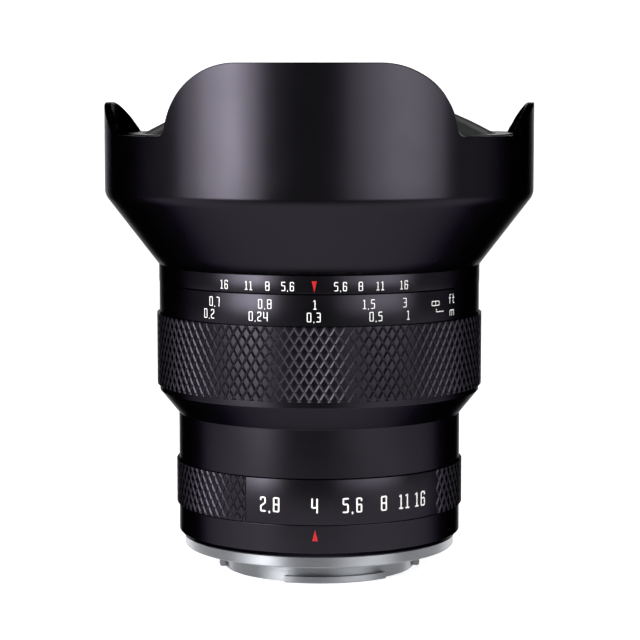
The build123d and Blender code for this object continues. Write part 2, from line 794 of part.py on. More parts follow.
# Iris housing, with a pivot hole for each blade and a slot in its wall for the cam ring's fork
blade_azimuths = [full_turn / blade_count * i for i in range(blade_count)]
cam_ring_radius = iris_cavity_radius - axial_play
fork_outer_radius = link_outer_radius + cam_fork_gap
fork_slot_start = link_azimuth + aperture_slowest_turn - cam_fork_sweep / 2 - fork_slot_margin
fork_slot_sweep = (aperture_fastest_turn - aperture_slowest_turn + cam_fork_sweep
                   + 2 * fork_slot_margin)
with BuildPart() as iris_housing:
    turn([
        (iris_hole_radius, iris_bottom),
        (iris_radius, iris_bottom),
        (iris_radius, iris_top),
        (iris_cavity_radius, iris_top),
        (iris_cavity_radius, iris_floor_top),
        (iris_hole_radius, iris_floor_top),
    ])
    sector(cam_ring_radius, iris_radius + cut_overrun, fork_slot_start, fork_slot_sweep,
           cam_ring_bottom - axial_play, cam_ring_top + axial_play, mode=Mode.SUBTRACT)
    with Locations((0, 0, iris_floor_top)):
        with PolarLocations(blade_pivot_radius, blade_count):
            Hole(iris_pin_radius + running_clearance, iris_floor)
    with Locations((0, 0, iris_top)):
        with PolarLocations(iris_wall_centre, cell_screw_count, cell_screw_azimuth):
            Hole(cell_screw_radius + thread_clearance, iris_top - iris_bottom)
save(iris_housing.part, "iris_housing")

with BuildPart() as iris_cover:
    ring(cover_bore, iris_cavity_radius - seat_clearance, cover_bottom, iris_top)
save(iris_cover.part, "iris_cover")

# Iris blades: each swings about its own pivot pin while the cam ring draws its other pin out.
# The edge radius falls in proportion to the stop, from the open radius at the fastest one.
iris_closed_radius = iris_open_radius * fastest_stop / slowest_stop
edge_shift = iris_open_radius - iris_closed_radius
blade_swing = 2 * degrees(asin(edge_shift / 2 / blade_pivot_radius))
aperture_travel = aperture_fastest_turn - aperture_slowest_turn
blade_ratio = blade_swing / aperture_travel
blade_rest_swing = -blade_ratio * aperture_fastest_turn
pivot_place = at(blade_pivot_radius, 0)[:2]
cam_pin_open_place = at(cam_pin_orbit, cam_pin_azimuth)[:2]
cam_pin_place = turned_about(cam_pin_open_place, pivot_place, blade_rest_swing)
pin_floor = iris_floor_top - iris_floor + axial_play
crescent_sweep = blade_heel_sweep + blade_sweep
print("blade ratio", round(blade_ratio, 5))

with BuildSketch() as blade_outline:
    with BuildSketch(mode=Mode.PRIVATE) as crescent:
        with BuildLine():
            far_edge = CenterArc((0, 0), blade_outer_radius, blade_heel_sweep, -crescent_sweep)
            near_edge = CenterArc((0, 0), iris_open_radius, blade_heel_sweep, -crescent_sweep)
            Line(near_edge @ 0, far_edge @ 0)
            Line(near_edge @ 1, far_edge @ 1)
        make_face()
        tip_round = (blade_outer_radius - iris_open_radius) * blade_tip_round_share
        fillet(crescent.vertices().sort_by_distance(far_edge @ 1)[:1], tip_round)
    add(crescent.sketch)
    with BuildSketch(mode=Mode.PRIVATE) as lobe:
        with BuildLine():
            lobe_centre = CenterArc((0, 0), (blade_pivot_radius + cam_pin_orbit) / 2, 0,
                                    cam_pin_azimuth)
        SlotArc(lobe_centre, blade_lobe_width)
    add(lobe.sketch)
    with BuildSketch(mode=Mode.PRIVATE) as neck:
        with BuildLine():
            neck_far = CenterArc((0, 0), blade_pivot_radius + blade_lobe_width / 2 - axial_play,
                                 -blade_neck_sweep, 2 * blade_neck_sweep)
            neck_near = CenterArc((0, 0), (blade_outer_radius + iris_open_radius) / 2,
                                  -blade_neck_sweep, 2 * blade_neck_sweep)
            Line(neck_near @ 0, neck_far @ 0)
            Line(neck_near @ 1, neck_far @ 1)
        make_face()
    add(neck.sketch)

for blade_number, blade_azimuth in enumerate(blade_azimuths):
    blade_bottom = cam_ring_bottom - axial_play - blade_thickness - blade_pitch * blade_number
    with BuildPart() as open_blade:
        add(blade_outline.sketch.moved(Location((0, 0, blade_bottom))))
        extrude(amount=blade_thickness)
        with Locations((*pivot_place, pin_floor)):
            Cylinder(iris_pin_radius, blade_bottom + blade_thickness - pin_floor,
                     align=(Align.CENTER, Align.CENTER, Align.MIN))
        with Locations((*cam_pin_open_place, blade_bottom)):
            Cylinder(iris_pin_radius, cam_ring_top - blade_bottom,
                     align=(Align.CENTER, Align.CENTER, Align.MIN))
    swung = open_blade.part.rotate(Axis((*pivot_place, 0), (0, 0, 1)), blade_rest_swing)
    save(swung.rotate(Axis.Z, blade_azimuth), f"iris_blade_{blade_number + 1}")

# Cam ring: its slots hold each blade's pin on the track that the blades' steady ratio asks for
def pin_in_cam_ring(ring_turn):
    """Where a blade's cam pin lies in the cam ring's own frame after a turn from rest."""
    pin = turned_about(cam_pin_place, pivot_place, blade_ratio * ring_turn)
    return turned_about(pin, (0, 0), -ring_turn)


cam_track = [pin_in_cam_ring(turn_angle) for turn_angle in (
    aperture_fastest_turn,
    (aperture_fastest_turn + aperture_slowest_turn) / 2,
    aperture_slowest_turn,
)]
with BuildPart() as iris_cam_ring:
    ring(cam_ring_bore, cam_ring_radius, cam_ring_bottom, cam_ring_top)
    sector(cam_ring_bore + cut_overrun, fork_outer_radius, link_azimuth - cam_fork_sweep / 2,
           cam_fork_sweep, cam_ring_bottom, cam_ring_top)
    sector(link_inner_radius - cam_fork_gap, fork_outer_radius + cut_overrun,
           link_azimuth - link_arm_sweep / 2 - cam_fork_play_sweep,
           link_arm_sweep + 2 * cam_fork_play_sweep,
           cam_ring_bottom, cam_ring_top, mode=Mode.SUBTRACT)
    with BuildSketch(Plane.XY.offset(cam_ring_bottom)) as cam_slots:
        with BuildLine(mode=Mode.PRIVATE):
            track = ThreePointArc(*cam_track)
        for blade_azimuth in blade_azimuths:
            with Locations(Rotation(0, 0, blade_azimuth)):
                SlotArc(track, 2 * (iris_pin_radius + cam_slot_clearance))
    extrude(cam_slots.sketch, amount=cam_ring_thickness, mode=Mode.SUBTRACT)
save(iris_cam_ring.part, "iris_cam_ring")

# Link arm and its screw: the aperture ring turns the cam ring through them
link_arm_top = cam_ring_top + link_arm_rise
link_plane = radial_plane(link_azimuth, (link_foot_bottom + link_foot_top) / 2,
                          link_inner_radius - cut_overrun)
with BuildPart() as aperture_link_arm:
    sector(link_inner_radius, aperture_bore, link_azimuth - link_foot_sweep / 2, link_foot_sweep,
           link_foot_bottom, link_foot_top)
    sector(link_inner_radius, link_outer_radius, link_azimuth - link_arm_sweep / 2,
           link_arm_sweep, link_foot_bottom, link_arm_top)
    with Locations(link_plane):
        Cylinder(link_screw_head_radius + seat_clearance,
                 cut_overrun + link_screw_head_height + seat_clearance,
                 mode=Mode.SUBTRACT, align=(Align.CENTER, Align.CENTER, Align.MIN))
        Cylinder(link_screw_radius + thread_clearance, aperture_bore, mode=Mode.SUBTRACT,
                 align=(Align.CENTER, Align.CENTER, Align.MIN))
save(aperture_link_arm.part, "aperture_link_arm")

head_seat = link_inner_radius + link_screw_head_height + seat_clearance
with BuildPart() as aperture_link_screw:
    with Locations(radial_plane(link_azimuth, (link_foot_bottom + link_foot_top) / 2, head_seat)):
        Cylinder(link_screw_head_radius, link_screw_head_height,
                 align=(Align.CENTER, Align.CENTER, Align.MAX))
        Cylinder(link_screw_radius, aperture_bore + link_screw_bite - head_seat,
                 align=(Align.CENTER, Align.CENTER, Align.MIN))
save(aperture_link_screw.part, "aperture_link_screw")

# Rear cell and what holds the glass in it
bore_7 = lens_7_radius + glass_clearance
bore_9 = lens_9_radius + glass_clearance
bore_11 = lens_11_radius + glass_clearance
lip_8_radius = lens_7_radius - lens_8_lip_width
lip_8 = lens_8_rear_vertex - sag(lens_8_rear_curve, lip_8_radius) - seat_clearance
lip_9_radius = lens_9_radius - rear_spacer_width
lip_9 = lens_9_front_vertex - sag(lens_9_front_curve, lip_9_radius) + seat_clearance
step_11 = lens_11_front_vertex - sag(lens_11_front_curve, lens_11_radius) + rear_bore_step
rear_ring_bore = lens_11_radius - rear_ring_width
rear_ring_top = lens_11_rear_vertex - sag(lens_11_rear_curve, rear_ring_bore) - seat_clearance
rear_cell_bottom = rear_ring_top - rear_ring_height
rear_cell_radius = bore_11 + rear_cell_wall
with BuildPart() as rear_cell:
    turn([
        (bore_7, iris_bottom),
        (iris_radius, iris_bottom),
        (iris_radius, iris_bottom - rear_cell_flange),
        (rear_cell_radius, iris_bottom - rear_cell_flange),
        (rear_cell_radius, rear_cell_bottom),
        (bore_11, rear_cell_bottom),
        (bore_11, step_11),
        (bore_9, step_11),
        (bore_9, lip_9),
        (lip_9_radius, lip_9),
        (lip_9_radius, lip_8 - lens_8_lip_height),
        (lip_8_radius, lip_8 - lens_8_lip_height),
        (lip_8_radius, lip_8),
        (bore_7, lip_8),
    ])
    with Locations((0, 0, iris_bottom)):
        with PolarLocations(iris_wall_centre, cell_screw_count, cell_screw_azimuth):
            Hole(cell_screw_radius + thread_clearance, rear_cell_flange)
save(rear_cell.part, "rear_cell")

ring_7_bore = lens_7_radius - lens_7_ring_width
with BuildPart() as lens_7_retaining_ring:
    turn([
        (ring_7_bore, lens_7_front_vertex - sag(lens_7_front_curve, ring_7_bore)
         + seat_clearance),
        (lens_7_radius, lens_7_front_vertex - sag(lens_7_front_curve, lens_7_radius)
         + seat_clearance),
        (lens_7_radius, iris_bottom),
        (ring_7_bore, iris_bottom),
    ])
save(lens_7_retaining_ring.part, "lens_7_retaining_ring")

with BuildPart() as rear_spacer:
    turn([
        (lip_9_radius, lens_11_front_vertex - sag(lens_11_front_curve, lip_9_radius)
         + seat_clearance),
        (lens_9_radius, lens_11_front_vertex - sag(lens_11_front_curve, lens_9_radius)
         + seat_clearance),
        (lens_9_radius, lens_10_rear_vertex - sag(lens_10_rear_curve, lens_9_radius)
         - seat_clearance),
        (lip_9_radius, lens_10_rear_vertex - sag(lens_10_rear_curve, lip_9_radius)
         - seat_clearance),
    ])
save(rear_spacer.part, "rear_spacer")

with BuildPart() as rear_retaining_ring:
    turn([
        (rear_ring_bore, rear_cell_bottom),
        (lens_11_radius, rear_cell_bottom),
        (lens_11_radius, lens_11_rear_vertex - sag(lens_11_rear_curve, lens_11_radius)
         - seat_clearance),
        (rear_ring_bore, rear_ring_top),
    ])
save(rear_retaining_ring.part, "rear_retaining_ring")

cell_head_seat = iris_bottom - rear_cell_flange
with BuildPart() as cell_screws:
    with Locations((0, 0, cell_head_seat)):
        with PolarLocations(iris_wall_centre, cell_screw_count, cell_screw_azimuth):
            Cylinder(cell_screw_head_radius, cell_screw_head_height,
                     align=(Align.CENTER, Align.CENTER, Align.MAX))
            Cylinder(cell_screw_radius, iris_top + cell_screw_bite - cell_head_seat,
                     align=(Align.CENTER, Align.CENTER, Align.MIN))
save(cell_screws.part, "cell_screws")

# Helicoid sleeve: slides in the nut ring, and its keyways keep it from turning
helicoid_bottom = guide_socket_floor + helicoid_lift
nut_bottom = guide_socket_floor + nut_lift + axial_play + nut_lip_height
nut_top = nut_bottom + nut_height
key_floor = helicoid_radius - key_depth
key_bottom = guide_socket_floor
key_top = key_bottom + key_height
key_azimuths = [key_azimuth + full_turn / key_count * i for i in range(key_count)]
helicoid_travel = helicoid_lead * (focus_near_turn - focus_far_turn) / full_turn
with BuildPart() as helicoid_sleeve:
    turn([
        (helicoid_bore, helicoid_bottom),
        (helicoid_radius, helicoid_bottom),
        (helicoid_radius, seat_3),
        (helicoid_flange_radius, seat_3),
        (helicoid_flange_radius, helicoid_top),
        (helicoid_bore, helicoid_top),
    ])
    for key_place in key_azimuths:
        sector(key_floor - running_clearance, helicoid_radius + cut_overrun,
               key_place - key_sweep / 2 - key_play_sweep, key_sweep + 2 * key_play_sweep,
               helicoid_bottom - cut_overrun, key_top + helicoid_travel, mode=Mode.SUBTRACT)
save(helicoid_sleeve.part, "helicoid_sleeve")

# Guide sleeve: the fixed tube between the rear barrel and the depth scale ring
guide_top = scale_top - scale_ring_web
lip_bore = nut_bore + running_clearance + seat_clearance
pin_height = (nut_bottom + nut_top) / 2
drive_azimuths = [drive_pin_azimuth + full_turn / drive_pin_count * i
                  for i in range(drive_pin_count)]
pin_half_sweep = degrees(asin((drive_pin_radius + running_clearance) / guide_bore))
with BuildPart() as guide_sleeve:
    turn([
        (guide_bore, guide_socket_floor),
        (guide_radius, guide_socket_floor),
        (guide_radius, guide_top),
        (guide_bore, guide_top),
        (guide_bore, nut_bottom - axial_play),
        (lip_bore, nut_bottom - axial_play),
        (lip_bore, nut_bottom - axial_play - nut_lip_height),
        (guide_bore, nut_bottom - axial_play - nut_lip_height),
    ])
    for drive_azimuth in drive_azimuths:
        sector(guide_bore - cut_overrun, guide_radius + cut_overrun,
               drive_azimuth + focus_far_turn - pin_half_sweep - drive_slot_margin,
               focus_near_turn - focus_far_turn + 2 * (pin_half_sweep + drive_slot_margin),
               pin_height - drive_pin_radius - running_clearance,
               pin_height + drive_pin_radius + running_clearance, mode=Mode.SUBTRACT)
save(guide_sleeve.part, "guide_sleeve")

with BuildPart() as guide_keys:
    for key_place in key_azimuths:
        sector(key_floor, guide_bore - seat_clearance, key_place - key_sweep / 2, key_sweep,
               key_bottom, key_top)
save(guide_keys.part, "guide_keys")

# Nut ring and the pins through which the grip turns it
with BuildPart() as focus_nut_ring:
    ring(nut_bore, nut_radius, nut_bottom, nut_top)
    for drive_azimuth in drive_azimuths:
        with Locations(radial_plane(drive_azimuth, pin_height)):
            Cylinder(drive_pin_radius + thread_clearance, nut_radius + cut_overrun,
                     mode=Mode.SUBTRACT, align=(Align.CENTER, Align.CENTER, Align.MIN))
save(focus_nut_ring.part, "focus_nut_ring")

with BuildPart() as nut_retaining_ring:
    ring(lip_bore, guide_bore - seat_clearance, nut_top + axial_play,
         nut_top + axial_play + nut_retainer_height)
save(nut_retaining_ring.part, "nut_retaining_ring")

focus_bore = guide_radius + running_clearance
relief_radius = focus_bore + focus_relief_depth
pin_end = relief_radius + drive_pin_bite
with BuildPart() as drive_pins:
    for drive_azimuth in drive_azimuths:
        with Locations(radial_plane(drive_azimuth, pin_height, nut_bore + running_clearance * 2)):
            Cylinder(drive_pin_radius, pin_end - nut_bore - running_clearance * 2,
                     align=(Align.CENTER, Align.CENTER, Align.MIN))
save(drive_pins.part, "drive_pins")

# Focus ring: the grip, the band with the distance scales and two bearing lands inside
with BuildPart() as focus_ring:
    turn([
        (focus_bore, grip_bottom),
        (grip_radius - grip_chamfer, grip_bottom),
        (grip_radius, grip_bottom + grip_chamfer),
        (grip_radius, grip_top - grip_chamfer),
        (grip_radius - grip_chamfer, grip_top),
        (band_radius, grip_top),
        (band_radius, band_top),
        (focus_bore, band_top),
        (focus_bore, band_top - focus_bearing_height),
        (relief_radius, band_top - focus_bearing_height),
        (relief_radius, grip_bottom + focus_bearing_height),
        (focus_bore, grip_bottom + focus_bearing_height),
    ])
    for drive_azimuth in drive_azimuths:
        with Locations(radial_plane(drive_azimuth, pin_height)):
            Cylinder(drive_pin_radius + thread_clearance, pin_end + axial_play,
                     mode=Mode.SUBTRACT, align=(Align.CENTER, Align.CENTER, Align.MIN))
save(focus_ring.part, "focus_ring")

# Depth scale ring, screwed on the guide sleeve's end
hood_base_bore = helicoid_flange_radius + hood_base_gap
hood_screw_circle = hood_base_bore + hood_screw_head_radius + axial_play
with BuildPart() as depth_scale_ring:
    turn([
        (guide_radius + seat_clearance, scale_bottom),
        (scale_ring_radius, scale_bottom),
        (scale_ring_radius, scale_top),
        (guide_bore, scale_top),
        (guide_bore, guide_top),
        (guide_radius + seat_clearance, guide_top),
    ])
    with Locations((0, 0, scale_top)):
        with PolarLocations(hood_screw_circle, hood_screw_count):
            Hole(hood_screw_radius + thread_clearance, hood_screw_bite + axial_play)
save(depth_scale_ring.part, "depth_scale_ring")

# Petal hood: base, cone and wall turned in one, then the rim cut to two long and two short petals
cone_slope = (hood_radius - scale_ring_radius) / hood_cone_height
cone_wall = hood_wall * sqrt(1 + cone_slope * cone_slope)
base_top = scale_top + hood_base_height
base_bore_top = scale_ring_radius + cone_slope * hood_base_height - cone_wall
inner_crease = crease + (cone_wall - hood_wall) / cone_slope
petal_split = hood_radius * sin(radians(petal_split_azimuth))
rim_clear = long_petal_top + cut_overrun
petal_azimuth_1 = index_azimuth + hood_azimuth_offset
long_corner = long_petal_half_width - long_petal_height * tan(radians(long_petal_lean_angle))
short_drop_reach = sqrt(short_petal_corner ** 2 - (short_petal_corner - short_petal_height) ** 2)
short_arc_angle = asin(short_drop_reach / short_petal_corner) * short_arc_share
with BuildPart() as petal_hood:
    turn([
        (hood_base_bore, scale_top),
        (scale_ring_radius, scale_top),
        (hood_radius, crease),
        (hood_radius - hood_groove_depth, crease),
        (hood_radius - hood_groove_depth, crease + hood_groove_height),
        (hood_radius, crease + hood_groove_height),
        (hood_radius, long_petal_top),
        (hood_bore, long_petal_top),
        (hood_bore, inner_crease),
        (base_bore_top, base_top),
        (hood_base_bore, base_top),
    ])
    for petal_azimuth in (petal_azimuth_1, petal_azimuth_1 + half_turn):
        long_plane = Plane(origin=at(petal_split, petal_azimuth),
                           x_dir=at(1, petal_azimuth + quarter_turn), z_dir=at(1, petal_azimuth))
        with BuildSketch(long_plane) as long_rim:
            with BuildLine():
                Polyline(
                    (-hood_radius, notch_floor),
                    (-long_petal_half_width, notch_floor),
                    (-long_corner, long_petal_top),
                    (long_corner, long_petal_top),
                    (long_petal_half_width, notch_floor),
                    (hood_radius, notch_floor),
                    (hood_radius, rim_clear),
                    (-hood_radius, rim_clear),
                    close=True)
            make_face()
            rim_points = long_rim.vertices()
            fillet(rim_points.filter_by(lambda v: abs(abs(v.X) - long_corner) < cut_overrun),
                   long_petal_corner)
            fillet(long_rim.vertices().filter_by(
                lambda v: abs(abs(v.X) - long_petal_half_width) < seat_clearance),
                petal_root_round)
        extrude(long_rim.sketch, amount=hood_radius, mode=Mode.SUBTRACT)
    for petal_azimuth in (petal_azimuth_1 + quarter_turn, petal_azimuth_1 - quarter_turn):
        short_plane = Plane(origin=at(petal_split, petal_azimuth),
                            x_dir=at(1, petal_azimuth + quarter_turn), z_dir=at(1, petal_azimuth))
        root = short_petal_flat + short_drop_reach
        arc_middle = (short_petal_flat + short_petal_corner * sin(short_arc_angle),
                      short_petal_top - short_petal_corner * (1 - cos(short_arc_angle)))
        with BuildSketch(short_plane) as short_rim:
            with BuildLine():
                Line((-petal_split, notch_floor), (-root, notch_floor))
                ThreePointArc((-root, notch_floor), (-arc_middle[0], arc_middle[1]),
                              (-short_petal_flat, short_petal_top))
                Line((-short_petal_flat, short_petal_top), (short_petal_flat, short_petal_top))
                ThreePointArc((short_petal_flat, short_petal_top), arc_middle,
                              (root, notch_floor))
                Polyline((root, notch_floor), (petal_split, notch_floor),
                         (petal_split, rim_clear), (-petal_split, rim_clear),
                         (-petal_split, notch_floor))
            make_face()
            fillet(short_rim.vertices().filter_by(
                lambda v: abs(abs(v.X) - root) < seat_clearance), petal_root_round)
        extrude(short_rim.sketch, amount=hood_radius, mode=Mode.SUBTRACT)
    with Locations((0, 0, base_top)):
        with PolarLocations(hood_screw_circle, hood_screw_count):
            Hole(hood_screw_radius + thread_clearance, hood_base_height)
save(petal_hood.part, "petal_hood")

with BuildPart() as hood_screws:
    with Locations((0, 0, base_top)):
        with PolarLocations(hood_screw_circle, hood_screw_count):
            Cylinder(hood_screw_head_radius, hood_screw_head_height,
                     align=(Align.CENTER, Align.CENTER, Align.MIN))
            Cylinder(hood_screw_radius, hood_base_height + hood_screw_bite,
                     align=(Align.CENTER, Align.CENTER, Align.MAX))
save(hood_screws.part, "hood_screws")

# Light trap: closes the way past the front cell inside the hood
light_trap_top = notch_floor - light_trap_drop
with BuildPart() as hood_light_trap:
    ring(front_cell_radius + light_trap_gap, hood_bore - seat_clearance,
         light_trap_top - light_trap_height, light_trap_top)
save(hood_light_trap.part, "hood_light_trap")
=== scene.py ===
"""Looks of the fisheye lens: its finishes, its ribbed rings, its hood, its scales and the studio.

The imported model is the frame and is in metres. Sizes here are in millimetres, with heights from
the flange's seating face, and one function turns them to metres.
"""

import logging
import math
from collections.abc import Iterable, Sequence
from dataclasses import dataclass, field
from enum import Enum

import bmesh
import bpy
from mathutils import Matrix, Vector

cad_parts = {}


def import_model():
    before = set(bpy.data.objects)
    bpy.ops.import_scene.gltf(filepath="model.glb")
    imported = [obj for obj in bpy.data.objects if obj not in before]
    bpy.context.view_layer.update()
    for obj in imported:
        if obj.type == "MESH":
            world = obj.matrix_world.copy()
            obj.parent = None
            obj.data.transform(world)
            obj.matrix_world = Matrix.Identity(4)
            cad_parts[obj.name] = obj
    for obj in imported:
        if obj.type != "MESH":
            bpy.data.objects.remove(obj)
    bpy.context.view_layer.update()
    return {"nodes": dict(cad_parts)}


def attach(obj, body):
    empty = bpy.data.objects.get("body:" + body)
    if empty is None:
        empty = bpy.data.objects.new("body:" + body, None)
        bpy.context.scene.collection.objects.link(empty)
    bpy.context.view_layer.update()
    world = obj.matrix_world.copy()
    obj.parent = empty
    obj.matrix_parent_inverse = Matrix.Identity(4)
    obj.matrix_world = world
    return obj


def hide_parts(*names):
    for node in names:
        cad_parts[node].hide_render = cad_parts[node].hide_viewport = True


LOG = logging.getLogger("fisheye_lens")
MM = 0.001
INDEX = -90.0
WELD = 0.002 * MM

Point2 = tuple[float, float]
Point3 = tuple[float, float, float]
Colour = tuple[float, float, float, float]
Tree = bpy.types.NodeTree
Node = bpy.types.Node
Socket = bpy.types.NodeSocket
Source = Node | Socket
Material = bpy.types.Material
Piece = bpy.types.Object


def linear(code: str) -> Colour:
    """Turn an sRGB hex colour to the linear colour that a shader takes.

    Args:
        code: The colour as #rrggbb.

    Returns:
        Linear red, green, blue and full opacity.
    """
    shares = [int(code[i:i + 2], 16) / 255 for i in (1, 3, 5)]
    red, green, blue = (share / 12.92 if share <= 0.04045 else ((share + 0.055) / 1.055) ** 2.4
                        for share in shares)
    return red, green, blue, 1.0


def around(radius: float, azimuth: float, height: float) -> Point3:
    """Give a point on the lens from its radius and azimuth.

    Args:
        radius: Distance from the lens's axis in millimetres.
        azimuth: Degrees from the index line, growing to the viewer's right.
        height: Millimetres above the flange's seat.

    Returns:
        The point in metres.
    """
    angle = math.radians(INDEX + azimuth)
    return radius * math.cos(angle) * MM, radius * math.sin(angle) * MM, height * MM


def add_node(tree: Tree, kind: str, settings: dict | None = None,
             links: dict | None = None) -> Node:
    """Add one node to a material.

    Args:
        tree: The material's node tree.
        kind: Blender's name for the node, without its ShaderNode.
        settings: Values by the name of an input or of a property.
        links: What comes in by the name or number of the input: a socket, or a node that
            gives its first output.

    Returns:
        The new node.
    """
    node = tree.nodes.new("ShaderNode" + kind)
    for name, value in (settings or {}).items():
        if name in node.inputs:
            node.inputs[name].default_value = value
        else:
            setattr(node, name, value)
    for name, source in (links or {}).items():
        socket = source if isinstance(source, Socket) else source.outputs[0]
        tree.links.new(socket, node.inputs[name])
    return node


def noise(tree: Tree, place: Source, grain_mm: float, detail: float) -> Node:
    """Add noise with grains of a real size.

    Args:
        tree: The material's node tree.
        place: Where on the piece each spot lies, in metres.
        grain_mm: The size of a grain in millimetres.
        detail: How many finer layers it has.

    Returns:
        The noise, from 0 to 1.
    """
    return add_node(tree, "TexNoise", {"Scale": 1 / (grain_mm * MM), "Detail": detail},
                    {"Vector": place})


def uneven(tree: Tree, value: Node, low: float, high: float) -> Node:
    """Turn noise to a roughness that wanders between two levels.

    Args:
        tree: The material's node tree.
        value: The noise.
        low: The roughness where the noise is low.
        high: The roughness where it is high.

    Returns:
        The roughness.
    """
    return add_node(tree, "MapRange",
                    {"From Min": 0.3, "From Max": 0.7, "To Min": low, "To Max": high},
                    {"Value": value})


def ramp(tree: Tree, value: Source, stops: Sequence[tuple[float, Colour]]) -> Node:
    """Turn a value to a colour between stops.

    Args:
        tree: The material's node tree.
        value: The value, from 0 to 1.
        stops: Place and linear colour of each stop, in rising order.

    Returns:
        The colour.
    """
    node = add_node(tree, "ValToRGB", None, {"Fac": value})
    elements = node.color_ramp.elements
    for element, (position, colour) in zip(elements, (stops[0], stops[-1])):
        element.position, element.color = position, colour
    for position, colour in stops[1:-1]:
        elements.new(position).color = colour
    return node


def placed(name: str, mesh: bpy.types.Mesh, material: Material) -> Piece:
    """Give a mesh its finish and put it in the scene.

    Args:
        name: The piece's name.
        mesh: Its shape.
        material: The finish.

    Returns:
        The piece.
    """
    mesh.materials.append(material)
    piece = bpy.data.objects.new(name, mesh)
    bpy.context.scene.collection.objects.link(piece)
    return piece


def mesh_object(name: str, points: Sequence[Point3], faces: Sequence[Sequence[int]],
                material: Material, sharp: float = 32.0) -> Piece:
    """Make a smooth-shaded object with creases at its sharp edges.

    Args:
        name: The piece's name.
        points: Corners in metres.
        faces: Corner numbers of each face.
        material: The finish.
        sharp: Edges that bend more than this many degrees stay crisp.

    Returns:
        The object, in the scene.
    """
    mesh = bpy.data.meshes.new(name)
    mesh.from_pydata(points, [], faces)
    work = bmesh.new()
    work.from_mesh(mesh)
    bmesh.ops.remove_doubles(work, verts=work.verts, dist=WELD)
    bmesh.ops.recalc_face_normals(work, faces=work.faces)
    work.to_mesh(mesh)
    work.free()
    mesh.shade_smooth()
    mesh.set_sharp_from_angle(angle=math.radians(sharp))
    return placed(name, mesh, material)


def tube_faces(columns: int, total: int, rows: int) -> list[tuple[int, ...]]:
    """Join columns of points, each a closed outline, with four-cornered faces.

    Args:
        columns: How many columns are joined to the next.
        total: How many columns there are.
        rows: Points in each column.

    Returns:
        Corner numbers of each face.
    """
    faces = []
    for column in range(columns):
        near, far = column * rows, (column + 1) % total * rows
        for row in range(rows):
            above = (row + 1) % rows
            faces.append((near + row, near + above, far + above, far + row))
    return faces


def rounding(start: Vector, corner: Vector, end: Vector, steps: int) -> list[Point2]:
    """Lay points on the curve that rounds a corner.

    Args:
        start: Where the curve leaves the first edge.
        corner: The corner.
        end: Where it meets the second edge.
        steps: Pieces in the curve.

    Returns:
        The points, with both ends.
    """
    points = []
    for step in range(steps + 1):
        share = step / steps
        spot = start * (1 - share) ** 2 + corner * 2 * share * (1 - share) + end * share ** 2
        points.append((spot.x, spot.y))
    return points


def arc(centre: Point2, radius: float, start: float, end: float, steps: int) -> list[Point2]:
    """Lay points on an arc.

    Args:
        centre: Its centre.
        radius: Its radius.
        start: Where it starts, in radians.
        end: Where it ends.
        steps: Pieces in the arc.

    Returns:
        The points, with both ends.
    """
    angles = [start + (end - start) * step / steps for step in range(steps + 1)]
    return [(centre[0] + radius * math.cos(angle), centre[1] + radius * math.sin(angle))
            for angle in angles]


def softened(outline: Sequence[Point2], radius: float, steps: int = 3,
             most: float = 0.45) -> list[Point2]:
    """Round the corners of a closed outline.

    Args:
        outline: Corners as radius and height.
        radius: Length that each corner takes from its edges, in millimetres.
        steps: Pieces in each rounding.
        most: Greatest share of an edge that one corner takes.

    Returns:
        The outline with its corners rounded.
    """
    result: list[Point2] = []
    count = len(outline)
    for i, corner in enumerate(outline):
        middle = Vector(corner)
        before = Vector(outline[i - 1]) - middle
        after = Vector(outline[(i + 1) % count]) - middle
        reach = min(radius, before.length * most, after.length * most)
        result += rounding(middle + before.normalized() * reach, middle,
                           middle + after.normalized() * reach, steps)
    return result


def turned(name: str, outline: Sequence[Point2], material: Material,
           start: float = 0.0, sweep: float = 360.0, steps: int = 288) -> Piece:
    """Turn a closed outline about the lens's axis, as on a lathe.

    Args:
        name: The piece's name.
        outline: Closed outline as radius and height in millimetres.
        material: The finish.
        start: Azimuth where the piece starts, in degrees from the index.
        sweep: Degrees that it covers.
        steps: Pieces around the whole turn.

    Returns:
        The turned piece.
    """
    whole = sweep >= 360
    columns = max(2, round(steps * sweep / 360))
    rows = len(outline)
    points = [around(radius, start + sweep * column / columns, height)
              for column in range(columns + (0 if whole else 1)) for radius, height in outline]
    faces = tube_faces(columns, columns if whole else columns + 1, rows)
    if not whole:
        faces.append(tuple(range(rows)))
        faces.append(tuple(range(columns * rows, (columns + 1) * rows)))
    return mesh_object(name, points, faces, material)


class Body(Enum):
    """Moving groups that a piece can ride on."""

    BARREL = "fixed_barrel"
    APERTURE = "aperture_control"
    FOCUS = "focus_control"


class Slot(Enum):
    """Material slots of the record."""

    ANODISED = "black_anodised"


@dataclass(frozen=True)
class Finish:
    """A finish of its own recipe, laid out as shader nodes in real millimetres."""

    name: str

    def _surface(self, tree: Tree, place: Socket) -> Node:
        """Lay the finish's own nodes.

        Args:
            tree: The material's node tree.
            place: Where on the piece each spot lies, in metres.

        Returns:
            The shader.
        """
        raise NotImplementedError

    def build(self) -> Material:
        """Make the material.

        Returns:
            The material.
        """
        material = bpy.data.materials.new(self.name)
        material.use_nodes = True
        tree = material.node_tree
        tree.nodes.clear()
        place = add_node(tree, "TexCoord").outputs["Object"]
        surface = self._surface(tree, place)
        add_node(tree, "OutputMaterial", None, {"Surface": surface})
        return material


